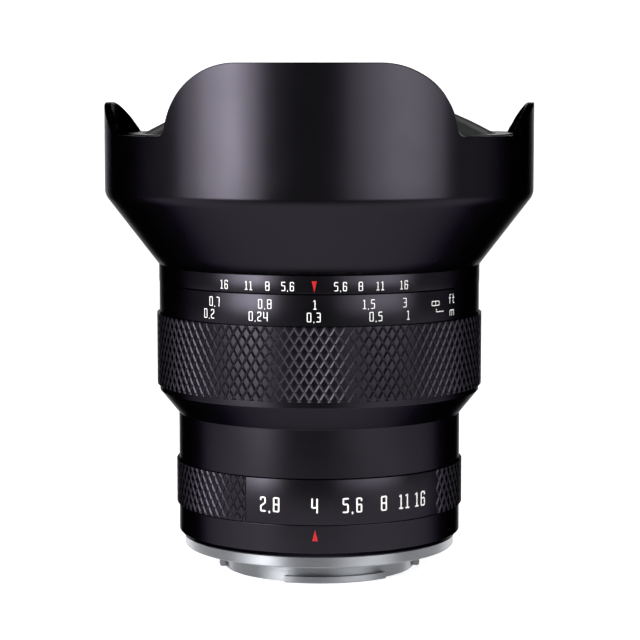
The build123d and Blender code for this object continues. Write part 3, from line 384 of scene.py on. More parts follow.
@dataclass(frozen=True)
class SatinAnodised(Finish):
    """Black anodised aluminium, turned, fine bead blasted and dyed.

    To the eye it is a deep neutral black with a soft wide sheen, faintly violet where a lamp
    meets it. It keeps dark at its outlines, and its turned edges catch a thin light line, partly
    from the lamps on the rounded edge and partly a painted highlight in a lighter colour.
    """

    dyed_face: str = "#29272c"
    # A lighter colour along the rounded edges: a painted highlight, not wear
    painted_edge_highlight: str = "#4c4a52"
    outline_tint: str = "#4a484e"
    roughness: float = 0.25
    gloss_swing: float = 0.02
    blast_grain_mm: float = 0.12
    pit_mm: float = 0.01
    pit_strength: float = 0.1
    cloud_mm: float = 9.0
    edge_mm: float = 0.14
    highlight_bend: float = 0.86
    dyed_bend: float = 0.99

    def _surface(self, tree: Tree, place: Socket) -> Node:
        """Lay dye, painted edge highlights and blast pits.

        Args:
            tree: The material's node tree.
            place: Where on the piece each spot lies.

        Returns:
            The shader.
        """
        grain = noise(tree, place, self.blast_grain_mm, 2.0)
        cloud = noise(tree, place, self.cloud_mm, 3.0)
        rounded = add_node(tree, "Bevel", {"Radius": self.edge_mm * MM, "samples": 6})
        flat = add_node(tree, "NewGeometry").outputs["Normal"]
        # Where the rounding bends the surface away from its flat face, the colour turns lighter: a
        # painted highlight along the edges
        turn = add_node(tree, "VectorMath", {"operation": "DOT_PRODUCT"}, {0: rounded, 1: flat})
        tone = ramp(tree, turn.outputs["Value"],
                    ((self.highlight_bend, linear(self.painted_edge_highlight)),
                     (self.dyed_bend, linear(self.dyed_face))))
        gloss = uneven(tree, cloud, self.roughness - self.gloss_swing,
                       self.roughness + self.gloss_swing)
        pits = add_node(tree, "Bump",
                        {"Strength": self.pit_strength, "Distance": self.pit_mm * MM},
                        {"Height": grain, "Normal": rounded})
        return add_node(tree, "BsdfPrincipled",
                        {"Metallic": 1.0, "Specular Tint": linear(self.outline_tint)},
                        {"Base Color": tone, "Roughness": gloss, "Normal": pits})


@dataclass(frozen=True)
class TurnedMetal(Finish):
    """Bare or plated metal, turned on a lathe.

    The tool leaves rings so fine that the eye sees them only as each light drawn out across
    them, with small changes of gloss from ring to ring.
    """

    colour: str
    roughness: float
    gloss_swing: float = 0.1
    ring_mm: float = 0.35
    ring_squeeze: float = 0.08
    cut_mm: float = 0.01
    cut_strength: float = 0.02
    stretch: float = 0.0

    def _surface(self, tree: Tree, place: Socket) -> Node:
        """Lay the tool's rings: noise that is stretched round the axis.

        Args:
            tree: The material's node tree.
            place: Where on the piece each spot lies.

        Returns:
            The shader.
        """
        squeezed = add_node(tree, "VectorMath", {"operation": "MULTIPLY"}, {0: place})
        squeezed.inputs[1].default_value = (self.ring_squeeze, self.ring_squeeze, 1.0)
        rings = noise(tree, squeezed, self.ring_mm, 2.0)
        gloss = uneven(tree, rings, self.roughness * (1 - self.gloss_swing),
                       self.roughness * (1 + self.gloss_swing))
        cuts = add_node(tree, "Bump",
                        {"Strength": self.cut_strength, "Distance": self.cut_mm * MM},
                        {"Height": rings})
        grooves = add_node(tree, "Tangent", {"direction_type": "RADIAL", "axis": "Z"})
        # A quarter turn from the grooves, lights are drawn out across them
        return add_node(tree, "BsdfPrincipled",
                        {"Base Color": linear(self.colour), "Metallic": 1.0,
                         "Anisotropic": self.stretch, "Anisotropic Rotation": 0.25},
                        {"Roughness": gloss, "Normal": cuts, "Tangent": grooves})


@dataclass(frozen=True)
class CoatedGlass(Finish):
    """Polished optical glass with a hard anti-reflection coating.

    The coating takes most of the surface's white glint away and leaves a faint violet and green
    one, and the depth behind reads as black. Seen flat along the surface, the glass is painted
    black: painted shade that stands for the blackened edge and the dark lens body seen through it.
    """

    body: str = "#f4f6f6"
    coating_near: str = "#6f7fd8"
    coating_edge: str = "#58a878"
    painted_grazing_shade: str = "#08080a"
    film_patch_mm: float = 30.0
    shade_from: float = 0.72
    shade_full: float = 0.9
    shade_share: float = 0.95

    def _surface(self, tree: Tree, place: Socket) -> Node:
        """Lay glass, coating and the painted black shade that shows at flat angles.

        Args:
            tree: The material's node tree.
            place: Where on the piece each spot lies.

        Returns:
            The shader.
        """
        film = noise(tree, place, self.film_patch_mm, 1.0)
        tint = ramp(tree, film,
                    ((0.35, linear(self.coating_near)), (0.7, linear(self.coating_edge))))
        glass = add_node(tree, "BsdfPrincipled",
                         {"Base Color": linear(self.body), "Roughness": 0.02, "IOR": 1.5,
                          "Specular IOR Level": 0.3, "Transmission Weight": 1.0},
                         {"Specular Tint": tint})
        # Painted shade: black mixed into the glass where it is seen flat on, by the facing angle
        grazing_shade = add_node(tree, "BsdfDiffuse", {"Color": linear(self.painted_grazing_shade)})
        slant = add_node(tree, "LayerWeight", {"Blend": 0.5})
        share = add_node(tree, "MapRange",
                         {"From Min": self.shade_from, "From Max": self.shade_full,
                          "To Max": self.shade_share}, {"Value": slant.outputs["Facing"]})
        return add_node(tree, "MixShader", None, {0: share, 1: glass, 2: grazing_shade})


@dataclass(frozen=True)
class MattePlastic(Finish):
    """Black ABS, moulded and without gloss, so that it swallows stray light."""

    colour: str
    roughness: float
    gloss_swing: float = 0.06
    grain_mm: float = 0.25
    grain_depth_mm: float = 0.03
    grain_strength: float = 0.3

    def _surface(self, tree: Tree, place: Socket) -> Node:
        """Lay the mould's fine grain.

        Args:
            tree: The material's node tree.
            place: Where on the piece each spot lies.

        Returns:
            The shader.
        """
        grain = noise(tree, place, self.grain_mm, 3.0)
        gloss = uneven(tree, grain, self.roughness - self.gloss_swing,
                       self.roughness + self.gloss_swing)
        texture = add_node(tree, "Bump",
                           {"Strength": self.grain_strength,
                            "Distance": self.grain_depth_mm * MM}, {"Height": grain})
        return add_node(tree, "BsdfPrincipled",
                        {"Base Color": linear(self.colour), "IOR": 1.5},
                        {"Roughness": gloss, "Normal": texture})


@dataclass(frozen=True)
class PaintFill(Finish):
    """Enamel wiped into a mark and cured: even colour, slightly darker where it lies thin."""

    colour: str
    thin: str
    roughness: float = 0.45
    brush_mm: float = 0.5

    def _surface(self, tree: Tree, place: Socket) -> Node:
        """Lay the paint.

        Args:
            tree: The material's node tree.
            place: Where on the piece each spot lies.

        Returns:
            The shader.
        """
        fill = noise(tree, place, self.brush_mm, 2.0)
        tone = ramp(tree, fill, ((0.25, linear(self.thin)), (0.5, linear(self.colour))))
        return add_node(tree, "BsdfPrincipled",
                        {"Roughness": self.roughness, "IOR": 1.5}, {"Base Color": tone})


@dataclass(frozen=True)
class Paper(Finish):
    """Matt white paper of floor and backdrop, white behind the lens and pale grey before it.

    Behind the lens it lifts what the camera and the reflections see to white, and it keeps the
    shadow that the lens lays on it. Before the lens, far beside it and above it, the paper is
    greyer, so that the black finish keeps its depth.
    """

    front: float = -700.0
    back: float = 390.0
    # Places from front to back as shares, and what is added there
    lifts: tuple[tuple[float, float], ...] = (
        (0.0, 0.12), (0.275, 0.08), (0.45, 0.08), (0.57, 0.6), (0.725, 0.8), (1.0, 0.9))
    tones: tuple[tuple[float, str], ...] = (
        (0.0, "#c0c0c0"), (0.275, "#8a8a8a"), (0.45, "#8a8a8a"), (0.57, "#f2f2f2"),
        (1.0, "#f4f4f4"))
    white_half: float = 270.0
    grey_half: float = 470.0
    side_level: float = 0.3
    white_height: float = 200.0
    grey_height: float = 420.0
    upper_level: float = 0.12
    fibre_mm: float = 1.1111
    nap_mm: float = 0.05
    nap_strength: float = 0.1

    def _fade(self, tree: Tree, value: Source, near: float, far: float, level: float) -> Node:
        """Fall from one to a level between two distances.

        Args:
            tree: The material's node tree.
            value: The distance.
            near: Where the fall starts, in millimetres.
            far: Where it ends.
            level: What is left there.

        Returns:
            The share that is left.
        """
        return add_node(tree, "MapRange",
                        {"From Min": near * MM, "From Max": far * MM, "To Min": 1.0,
                         "To Max": level}, {"Value": value})

    def _surface(self, tree: Tree, place: Socket) -> Node:
        """Lay the paper and its lift.

        Args:
            tree: The material's node tree.
            place: Where on the piece each spot lies.

        Returns:
            The shader.
        """
        path = add_node(tree, "LightPath").outputs
        seen = path["Is Camera Ray"]
        for name in ("Is Glossy Ray", "Is Transmission Ray"):
            seen = add_node(tree, "Math", {"operation": "MAXIMUM"}, {0: seen, 1: path[name]})
        axes = add_node(tree, "SeparateXYZ", None, {"Vector": place}).outputs
        share = add_node(tree, "MapRange",
                         {"From Min": self.front * MM, "From Max": self.back * MM},
                         {"Value": axes["Y"]})
        aside = add_node(tree, "Math", {"operation": "ABSOLUTE"}, {0: axes["X"]})
        beside = self._fade(tree, aside, self.white_half, self.grey_half, self.side_level)
        below = self._fade(tree, axes["Z"], self.white_height, self.grey_height, self.upper_level)
        glow = ramp(tree, share, [(at, (lift, lift, lift, 1.0)) for at, lift in self.lifts])
        for part in (seen, beside, below):
            glow = add_node(tree, "Math", {"operation": "MULTIPLY"}, {0: glow, 1: part})
        tone = ramp(tree, share, [(at, linear(code)) for at, code in self.tones])
        tone = add_node(tree, "VectorMath", {"operation": "SCALE"}, {0: tone, "Scale": below})
        fibre = noise(tree, place, self.fibre_mm, 3.0)
        nap = add_node(tree, "Bump",
                       {"Strength": self.nap_strength, "Distance": self.nap_mm * MM},
                       {"Height": fibre})
        sheet = add_node(tree, "BsdfDiffuse", None, {"Color": tone, "Normal": nap})
        light = add_node(tree, "Emission", None, {"Strength": glow})
        return add_node(tree, "AddShader", None, {0: sheet, 1: light})


def made(finish: Finish) -> Material:
    """Give a field that makes its finish once, with the set."""
    return field(default_factory=finish.build)


@dataclass
class Finishes:
    """Every finish of the lens, made once."""

    anodised: Material = made(SatinAnodised("satin_anodised_aluminium"))
    knurled: Material = made(SatinAnodised("rolled_anodised_aluminium", edge_mm=0.04))
    chrome: Material = made(TurnedMetal("chromed_brass_turned", "#86888c", 0.42, stretch=0.9))
    steel: Material = made(TurnedMetal("stainless_steel", "#b9b8b4", 0.25))
    brass: Material = made(TurnedMetal("turned_brass", "#c9a25a", 0.3))
    blade: Material = made(TurnedMetal("blued_spring_steel", "#2b2d33", 0.42))
    glass: Material = made(CoatedGlass("coated_optical_glass"))
    plastic: Material = made(MattePlastic("moulded_black_abs", "#0e0e0f", 0.62))
    white_fill: Material = made(PaintFill("white_enamel_fill", "#f2f2f0", "#dcdcd8"))
    red_fill: Material = made(PaintFill("red_enamel_fill", "#b2050d", "#90040a"))

    def dress_frame(self, nodes: dict[str, Piece]) -> None:
        """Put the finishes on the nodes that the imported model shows.

        Args:
            nodes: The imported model's objects by name.
        """
        finish_of_slot = {
            "black_anodised": self.anodised, "chromed_brass": self.chrome, "steel": self.steel,
            "brass": self.brass, "blackened_steel": self.blade, "glass": self.glass,
            "black_plastic": self.plastic,
        }
        for node in nodes.values():
            for slot in node.material_slots:
                name = slot.material.name.split(".")[0] if slot.material else ""
                if name in finish_of_slot:
                    slot.material = finish_of_slot[name]


@dataclass
class Knurl:
    """Diamond knurling: flat-topped diamonds between crossed grooves, rolled on a ring.

    The pattern is built flat, cut to its limits with walls down to the core, and rolled up.
    """

    radius: float
    bottom: float
    top: float
    core_radius: float
    count: int = 108
    diamond_height: float = 3.45
    groove_depth: float = 0.18
    top_share: float = 0.66
    top_splits: int = 3
    row_shift: float = 0.0
    start: float = 0.0
    sweep: float = 360.0
    weld: float = 0.001
    crisp_angle: float = 25.0

    def _cell(self, work: bmesh.types.BMesh, middle_x: float, middle_y: float,
              width: float) -> None:
        """Add one diamond with its four groove walls.

        Args:
            work: The mesh that gets it.
            middle_x: Its middle along the rolled-out ring.
            middle_y: Its middle up the ring.
            width: The diamond's width.
        """
        half_x, half_y = width / 2, self.diamond_height / 2
        rim = [(half_x, 0.0), (0.0, half_y), (-half_x, 0.0), (0.0, -half_y)]

        def at(u: float, v: float) -> Point2:
            """Give a place on the flat top from its two shares."""
            x = (u - v) * half_x * self.top_share
            y = (u + v - 1) * half_y * self.top_share
            return middle_x + x, middle_y + y

        n = self.top_splits
        grid = [[work.verts.new((*at(i / n, j / n), 0.0)) for j in range(n + 1)]
                for i in range(n + 1)]
        for i in range(n):
            for j in range(n):
                work.faces.new((grid[i][j], grid[i + 1][j], grid[i + 1][j + 1], grid[i][j + 1]))
        sides = (
            ([grid[i][0] for i in range(n + 1)], 3, 0),
            ([grid[n][j] for j in range(n + 1)], 0, 1),
            ([grid[n - i][n] for i in range(n + 1)], 1, 2),
            ([grid[0][n - j] for j in range(n + 1)], 2, 3),
        )
        for edge, first, second in sides:
            low = []
            for i in range(n + 1):
                share = i / n
                x = rim[first][0] * (1 - share) + rim[second][0] * share
                y = rim[first][1] * (1 - share) + rim[second][1] * share
                low.append(work.verts.new((middle_x + x, middle_y + y, -self.groove_depth)))
            for i in range(n):
                work.faces.new((edge[i], low[i], low[i + 1], edge[i + 1]))

    def build(self, name: str, material: Material) -> Piece:
        """Make the knurled surface.

        Args:
            name: The piece's name.
            material: The finish.

        Returns:
            The rolled-up surface with its end walls.
        """
        work = bmesh.new()
        girth = 2 * math.pi * self.radius
        width = girth / self.count
        whole = self.sweep >= 360
        left = girth * self.start / 360
        length = girth * self.sweep / 360
        columns = self.count if whole else math.ceil(length / width) + 2
        rows = math.ceil((self.top - self.bottom) / self.diamond_height) + 2
        for column in range(columns):
            for row in range(-1, rows):
                x = left + (column - (0 if whole else 1)) * width
                y = self.bottom + self.row_shift + row * self.diamond_height
                self._cell(work, x, y, width)
                self._cell(work, x + width / 2, y + self.diamond_height / 2, width)
        bmesh.ops.remove_doubles(work, verts=work.verts, dist=self.weld)
        cuts = [((0, self.bottom, 0), (0, -1, 0)), ((0, self.top, 0), (0, 1, 0))]
        if not whole:
            cuts += [((left, 0, 0), (-1, 0, 0)), ((left + length, 0, 0), (1, 0, 0))]
        for place, outward in cuts:
            everything = work.verts[:] + work.edges[:] + work.faces[:]
            bmesh.ops.bisect_plane(work, geom=everything, dist=self.weld / 2, plane_co=place,
                                   plane_no=outward, clear_outer=True)
        for place, outward in cuts:
            axis = 0 if outward[0] else 1
            rim = [edge for edge in work.edges if edge.is_boundary
                   and all(abs(v.co[axis] - place[axis]) < 2 * self.weld for v in edge.verts)]
            made = bmesh.ops.extrude_edge_only(work, edges=rim)["geom"]
            for item in made:
                if isinstance(item, bmesh.types.BMVert):
                    item.co.z = self.core_radius - self.radius
        for vert in work.verts:
            azimuth = vert.co.x / girth * 360
            vert.co = around(self.radius + vert.co.z, azimuth, vert.co.y)
        bmesh.ops.remove_doubles(work, verts=work.verts, dist=WELD)
        bmesh.ops.recalc_face_normals(work, faces=work.faces)
        outer = max(work.faces, key=lambda f: f.calc_center_median().xy.length)
        if outer.normal.xy.dot(outer.calc_center_median().xy) < 0:
            bmesh.ops.reverse_faces(work, faces=work.faces)
        mesh = bpy.data.meshes.new(name)
        work.to_mesh(mesh)
        work.free()
        mesh.shade_smooth()
        mesh.set_sharp_from_angle(angle=math.radians(self.crisp_angle))
        return placed(name, mesh, material)


@dataclass
class FocusRing:
    """Focus ring: a diamond-knurled grip and above it the smooth distance band."""

    bore: float = 33.1
    relief: float = 34.4
    bearing: float = 3.2
    band_radius: float = 36.27
    grip_radius: float = 36.86
    core_radius: float = 36.2
    bottom: float = 37.1
    grip_top: float = 53.2
    top: float = 60.05
    edge: float = 0.12
    grip_shift: float = 0.55

    def build(self, finishes: Finishes) -> None:
        """Make the ring and hang it on the focus control.

        Args:
            finishes: The lens's finishes.
        """
        outline = [
            (self.bore, self.bottom), (self.core_radius, self.bottom),
            (self.core_radius, self.grip_top), (self.band_radius, self.grip_top),
            (self.band_radius, self.top), (self.bore, self.top),
            (self.bore, self.top - self.bearing), (self.relief, self.top - self.bearing),
            (self.relief, self.bottom + self.bearing), (self.bore, self.bottom + self.bearing),
        ]
        core = turned("focus_ring_core", softened(outline, self.edge), finishes.anodised)
        grip = Knurl(self.grip_radius, self.bottom, self.grip_top, self.core_radius,
                     row_shift=self.grip_shift).build("focus_ring_grip", finishes.knurled)
        for piece in (core, grip):
            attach(piece, Body.FOCUS.value)
            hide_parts("focus_ring")
        LOG.info("focus ring: %d grip faces", len(grip.data.polygons))


@dataclass
class ApertureRing:
    """Aperture ring: knurled, with a smooth numeral band on its front."""

    bore: float = 29.95
    radius: float = 32.56
    core_radius: float = 31.9
    bottom: float = 9.7
    top: float = 19.75
    band_start: float = -27.6
    band_end: float = 54.1
    band_gap: float = 0.35
    seam: float = 0.24
    edge: float = 0.14
    core_edge: float = 0.05
    band_root: float = 0.3
    grip_count: int = 96
    grip_shift: float = 0.4

    def build(self, finishes: Finishes) -> None:
        """Make the ring and hang it on the aperture control.

        Args:
            finishes: The lens's finishes.
        """
        core = turned("aperture_ring_core", softened([
            (self.bore, self.bottom), (self.core_radius, self.bottom),
            (self.core_radius, self.top), (self.bore, self.top)], self.core_edge),
            finishes.anodised)
        low, inside = self.bottom + self.seam, self.core_radius - self.band_root
        band_sweep = self.band_end - self.band_start
        band = turned("aperture_ring_band", softened([
            (inside, low), (self.radius, low), (self.radius, self.top), (inside, self.top)],
            self.edge), finishes.anodised, self.band_start, band_sweep)
        grip = Knurl(self.radius, low, self.top, self.core_radius, count=self.grip_count,
                     row_shift=self.grip_shift, start=self.band_end + self.band_gap,
                     sweep=360 - band_sweep - 2 * self.band_gap,
                     ).build("aperture_ring_grip", finishes.knurled)
        for piece in (core, band, grip):
            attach(piece, Body.APERTURE.value)
            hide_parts("aperture_ring")
        LOG.info("aperture ring: %d grip faces", len(grip.data.polygons))


@dataclass
class DepthScaleRing:
    """Fixed ring that carries the depth-of-field scale, with its two edges broken."""

    bore: float = 31.75
    radius: float = 36.35
    bottom: float = 60.15
    top: float = 64.15
    seam: float = 0.14
    edge: float = 0.12

    def build(self, finishes: Finishes) -> None:
        """Make the ring and hang it on the barrel.

        Args:
            finishes: The lens's finishes.
        """
        low, high = self.bottom + self.seam, self.top
        ring = turned("depth_scale_ring_turned", softened([
            (self.bore, low), (self.radius, low), (self.radius, high), (self.bore, high)],
            self.edge), finishes.anodised)
        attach(ring, Body.BARREL.value)
        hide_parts("depth_scale_ring")


@dataclass
class PetalHood:
    """Petal hood: cone, wall, two long and two short petals, ribbed inside."""

    base_bore: float = 31.75
    base_radius: float = 36.35
    base: float = 64.2
    base_top: float = 66.4
    base_bore_top: float = 36.02
    radius: float = 48.37
    bore: float = 46.77
    crease: float = 79.9
    inner_crease: float = 80.44
    foot_edge: float = 0.12
    cone_start: float = 0.008
    cone_end: float = 0.93
    floor: float = 93.5
    floor_run: float = 2.4
    long_top: float = 109.0
    long_half_width: float = 31.3
    long_lean: float = 11.0
    long_corner: float = 15.8
    short_top: float = 100.5
    short_flat: float = 1.0
    short_corner: float = 26.0
    root_round: float = 2.0
    turn_offset: float = -1.3
    split_azimuth: float = 35.0
    rim_edge: float = 0.22
    rim_bend: float = 0.3
    rim_support: float = 0.12
    rib_pitch: float = 0.5
    rib_depth: float = 0.24
    rib_bottom: float = 88.0
    rib_relief: float = 0.3
    rib_end: float = 0.2
    rib_fade: float = 0.1
    step_length: float = 0.55
    cone_steps: int = 6
    crease_steps: int = 8
    arc_steps: int = 16
    root_steps: int = 6
    floor_steps: int = 12
    wall_rows: int = 8
    rib_rows: int = 168

    def _rounded_path(self, corners: Sequence[Point2], radii: Sequence[float]) -> list[Point2]:
        """Lay points along a path whose inner corners are rounded.

        Args:
            corners: The path's corners.
            radii: The rounding at each inner corner.

        Returns:
            The points in order.
        """
        path = [Vector(corners[0])]
        for i, radius in enumerate(radii, start=1):
            middle = Vector(corners[i])
            before = (Vector(corners[i - 1]) - middle).normalized()
            after = (Vector(corners[i + 1]) - middle).normalized()
            half = before.angle(after) / 2
            reach = radius / math.tan(half)
            centre = middle + (before + after).normalized() * radius / math.sin(half)
            first, last = middle + before * reach, middle + after * reach
            arm_1, arm_2 = first - centre, last - centre
            turn = arm_1.angle(arm_2)
            steps = max(4, math.ceil(turn * radius / self.step_length))
            for step in range(steps + 1):
                share = step / steps
                arm = (arm_1 * math.sin((1 - share) * turn)
                       + arm_2 * math.sin(share * turn)) / math.sin(turn)
                path.append(centre + arm)
        path.append(Vector(corners[-1]))
        dense: list[Point2] = []
        for one, two in zip(path, path[1:]):
            steps = max(1, math.ceil((two - one).length / self.step_length))
            dense += [tuple(one.lerp(two, step / steps)) for step in range(steps)]
        dense.append(tuple(path[-1]))
        return dense

    def _columns(self) -> list[tuple[float, float, float]]:
        """Give one quarter of the rim, from the long petal's middle to the short petal's.

        Returns:
            Azimuth outside, azimuth inside and rim height of each column.
        """
        split = self.radius * math.sin(math.radians(self.split_azimuth))
        lean = (self.long_top - self.floor) * math.tan(math.radians(self.long_lean))
        long_path = self._rounded_path(
            [(0.0, self.long_top), (self.long_half_width - lean, self.long_top),
             (self.long_half_width, self.floor),
             (self.long_half_width + self.floor_run, self.floor)],
            [self.long_corner, self.root_round])
        columns = [(math.degrees(math.asin(x / self.radius)),
                    math.degrees(math.asin(x / self.bore)), height) for x, height in long_path]
        arc_level = self.short_top - self.short_corner
        reach = self.short_corner + self.root_round
        root_level = self.floor + self.root_round
        root = self.short_flat + math.sqrt(reach ** 2 - (root_level - arc_level) ** 2)
        meet = math.atan2(root_level - arc_level, root - self.short_flat)
        side = [(0.0, self.short_top), (self.short_flat / 2, self.short_top)]
        side += arc((self.short_flat, arc_level), self.short_corner, math.pi / 2, meet,
                    self.arc_steps)
        side += arc((root, root_level), self.root_round, meet + math.pi, math.pi * 1.5,
                    self.root_steps)[1:]
        sides = [(90 - math.degrees(math.asin(y / self.radius)),
                  90 - math.degrees(math.asin(y / self.bore)), height)
                 for y, height in side]
        outer_1, inner_1, _ = columns[-1]
        outer_2, inner_2, _ = sides[-1]
        for step in range(1, self.floor_steps):
            share = step / self.floor_steps
            columns.append((outer_1 + (outer_2 - outer_1) * share,
                            inner_1 + (inner_2 - inner_1) * share, self.floor))
        return columns + sides[::-1]

    def _crease_rounding(self) -> list[Point2]:
        """Give the rounded corner between cone and wall.

        Returns:
            Radius and height of each row, from the cone upwards.
        """
        rise = self.crease - self.base
        start = Vector((self.base_radius + (self.radius - self.base_radius) * self.cone_end,
                        self.base + rise * self.cone_end))
        corner = Vector((self.radius, self.crease))
        end = Vector((self.radius, self.crease + rise * (1 - self.cone_end)))
        return rounding(start, corner, end, self.crease_steps)[1:]

    def _inner_radius(self, height: float, rim: float) -> float:
        """Give the ribbed inner wall's radius.

        Args:
            height: Height on the wall.
            rim: Height of the rim above it.

        Returns:
            The radius in millimetres.
        """
        phase = (height - self.rib_bottom) / self.rib_pitch % 1.0
        tooth = abs(2 * phase - 1.0)
        fade = min(1.0, max(0.0, (rim - height - self.rib_end) / self.rib_fade))
        return self.bore - self.rib_depth * tooth * fade

    def _column(self, outer: float, inner: float, rim: float) -> list[Point3]:
        """Lay the hood's section at one azimuth, up the outside and down the ribbed inside.

        Args:
            outer: Azimuth of its outside.
            inner: Azimuth of its inside.
            rim: Height of the rim there.

        Returns:
            The section's points.
        """
        flare, rise = self.radius - self.base_radius, self.crease - self.base
        outside = [(self.base_bore, self.base), (self.base_radius - self.foot_edge, self.base)]
        for step in range(self.cone_steps + 1):
            share = self.cone_start + (self.cone_end - self.cone_start) * step / self.cone_steps
            outside.append((self.base_radius + flare * share, self.base + rise * share))
        outside += self._crease_rounding()
        first = self.crease + rise * (1 - self.cone_end)
        last = rim - self.rim_edge
        for step in range(1, self.wall_rows + 1):
            share = min(step / (self.wall_rows - 1), 1.0)
            support = self.rim_support if step == self.wall_rows - 1 else 0.0
            outside.append((self.radius, first + (last - first) * share - support))
        bend = self.rim_edge * self.rim_bend
        outside += [(self.radius - bend, rim - bend), (self.radius - self.rim_edge, rim)]
        inside = [(self.bore + self.rim_edge, rim), (self.bore + bend, rim - bend)]
        for step in range(self.rib_rows + 1):
            height = last + (self.rib_bottom - last) * step / self.rib_rows
            inside.append((self._inner_radius(height, rim), height))
        inside += [(self.bore, self.rib_bottom - self.rib_relief), (self.bore, self.inner_crease),
                   (self.base_bore_top, self.base_top), (self.base_bore, self.base_top)]
        return ([around(radius, outer, height) for radius, height in outside]
                + [around(radius, inner, height) for radius, height in inside])

    def build(self, finishes: Finishes) -> None:
        """Make the hood and hang it on the barrel.

        Args:
            finishes: The lens's finishes.
        """
        quarter = self._columns()
        ring = list(quarter)
        ring += [(180 - a, 180 - b, h) for a, b, h in quarter[-2::-1]]
        ring += [(180 + a, 180 + b, h) for a, b, h in quarter[1:]]
        ring += [(360 - a, 360 - b, h) for a, b, h in quarter[-2:0:-1]]
        points: list[Point3] = []
        for outer, inner, rim in ring:
            points += self._column(outer + self.turn_offset, inner + self.turn_offset, rim)
        total = len(ring)
        rows = len(points) // total
        faces = tube_faces(total, total, rows)
        hood = mesh_object("petal_hood_turned", points, faces, finishes.anodised, sharp=24)
        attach(hood, Body.BARREL.value)
        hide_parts("petal_hood")
        LOG.info("petal hood: %d columns of %d rows", total, rows)


GLYPHS: dict[str, tuple[float, list[list[Point2]]]] = {
    # Width as a share of the height, then the strokes on a box one unit tall, before each
    # scale's own width
    "0": (0.36, [[(0.18, 0), (0.36, 0), (0.36, 1), (0, 1), (0, 0), (0.18, 0)]]),
    "1": (0.24, [[(0.0, 0.9), (0.13, 1), (0.13, 0)], [(0, 0), (0.26, 0)]]),
    "2": (0.34, [[(0, 0.84), (0, 1), (0.34, 1), (0.34, 0.6), (0, 0.36), (0, 0), (0.34, 0)]]),
    "3": (0.34, [[(0, 1), (0.34, 1), (0.34, 0), (0, 0)], [(0.1, 0.52), (0.34, 0.52)]]),
    "4": (0.40, [[(0.02, 1), (0, 0.36), (0.38, 0.36)], [(0.38, 1), (0.38, 0)]]),
    "5": (0.34, [[(0.34, 1), (0, 1), (0, 0.58), (0.34, 0.58), (0.34, 0), (0, 0)]]),
    "6": (0.34, [[(0.34, 0.84), (0.34, 1), (0, 1), (0, 0), (0.34, 0), (0.34, 0.54), (0, 0.54)]]),
    "7": (0.32, [[(0, 1), (0.32, 1), (0.27, 0)]]),
    "8": (0.38, [[(0.19, 0), (0.38, 0), (0.38, 1), (0, 1), (0, 0), (0.19, 0)],
                 [(0, 0.52), (0.38, 0.52)]]),
    ".": (0.0, [[(0.0, -0.1), (0.0, -0.02)]]),
    "m": (0.66, [[(0, 0), (0, 0.62), (0.66, 0.62), (0.66, 0)], [(0.33, 0.62), (0.33, 0)]]),
    "f": (0.32, [[(0.32, 1), (0.14, 1), (0.14, 0)], [(0, 0.62), (0.3, 0.62)]]),
    "t": (0.32, [[(0.12, 1), (0.12, 0), (0.32, 0)], [(0, 0.62), (0.3, 0.62)]]),
}


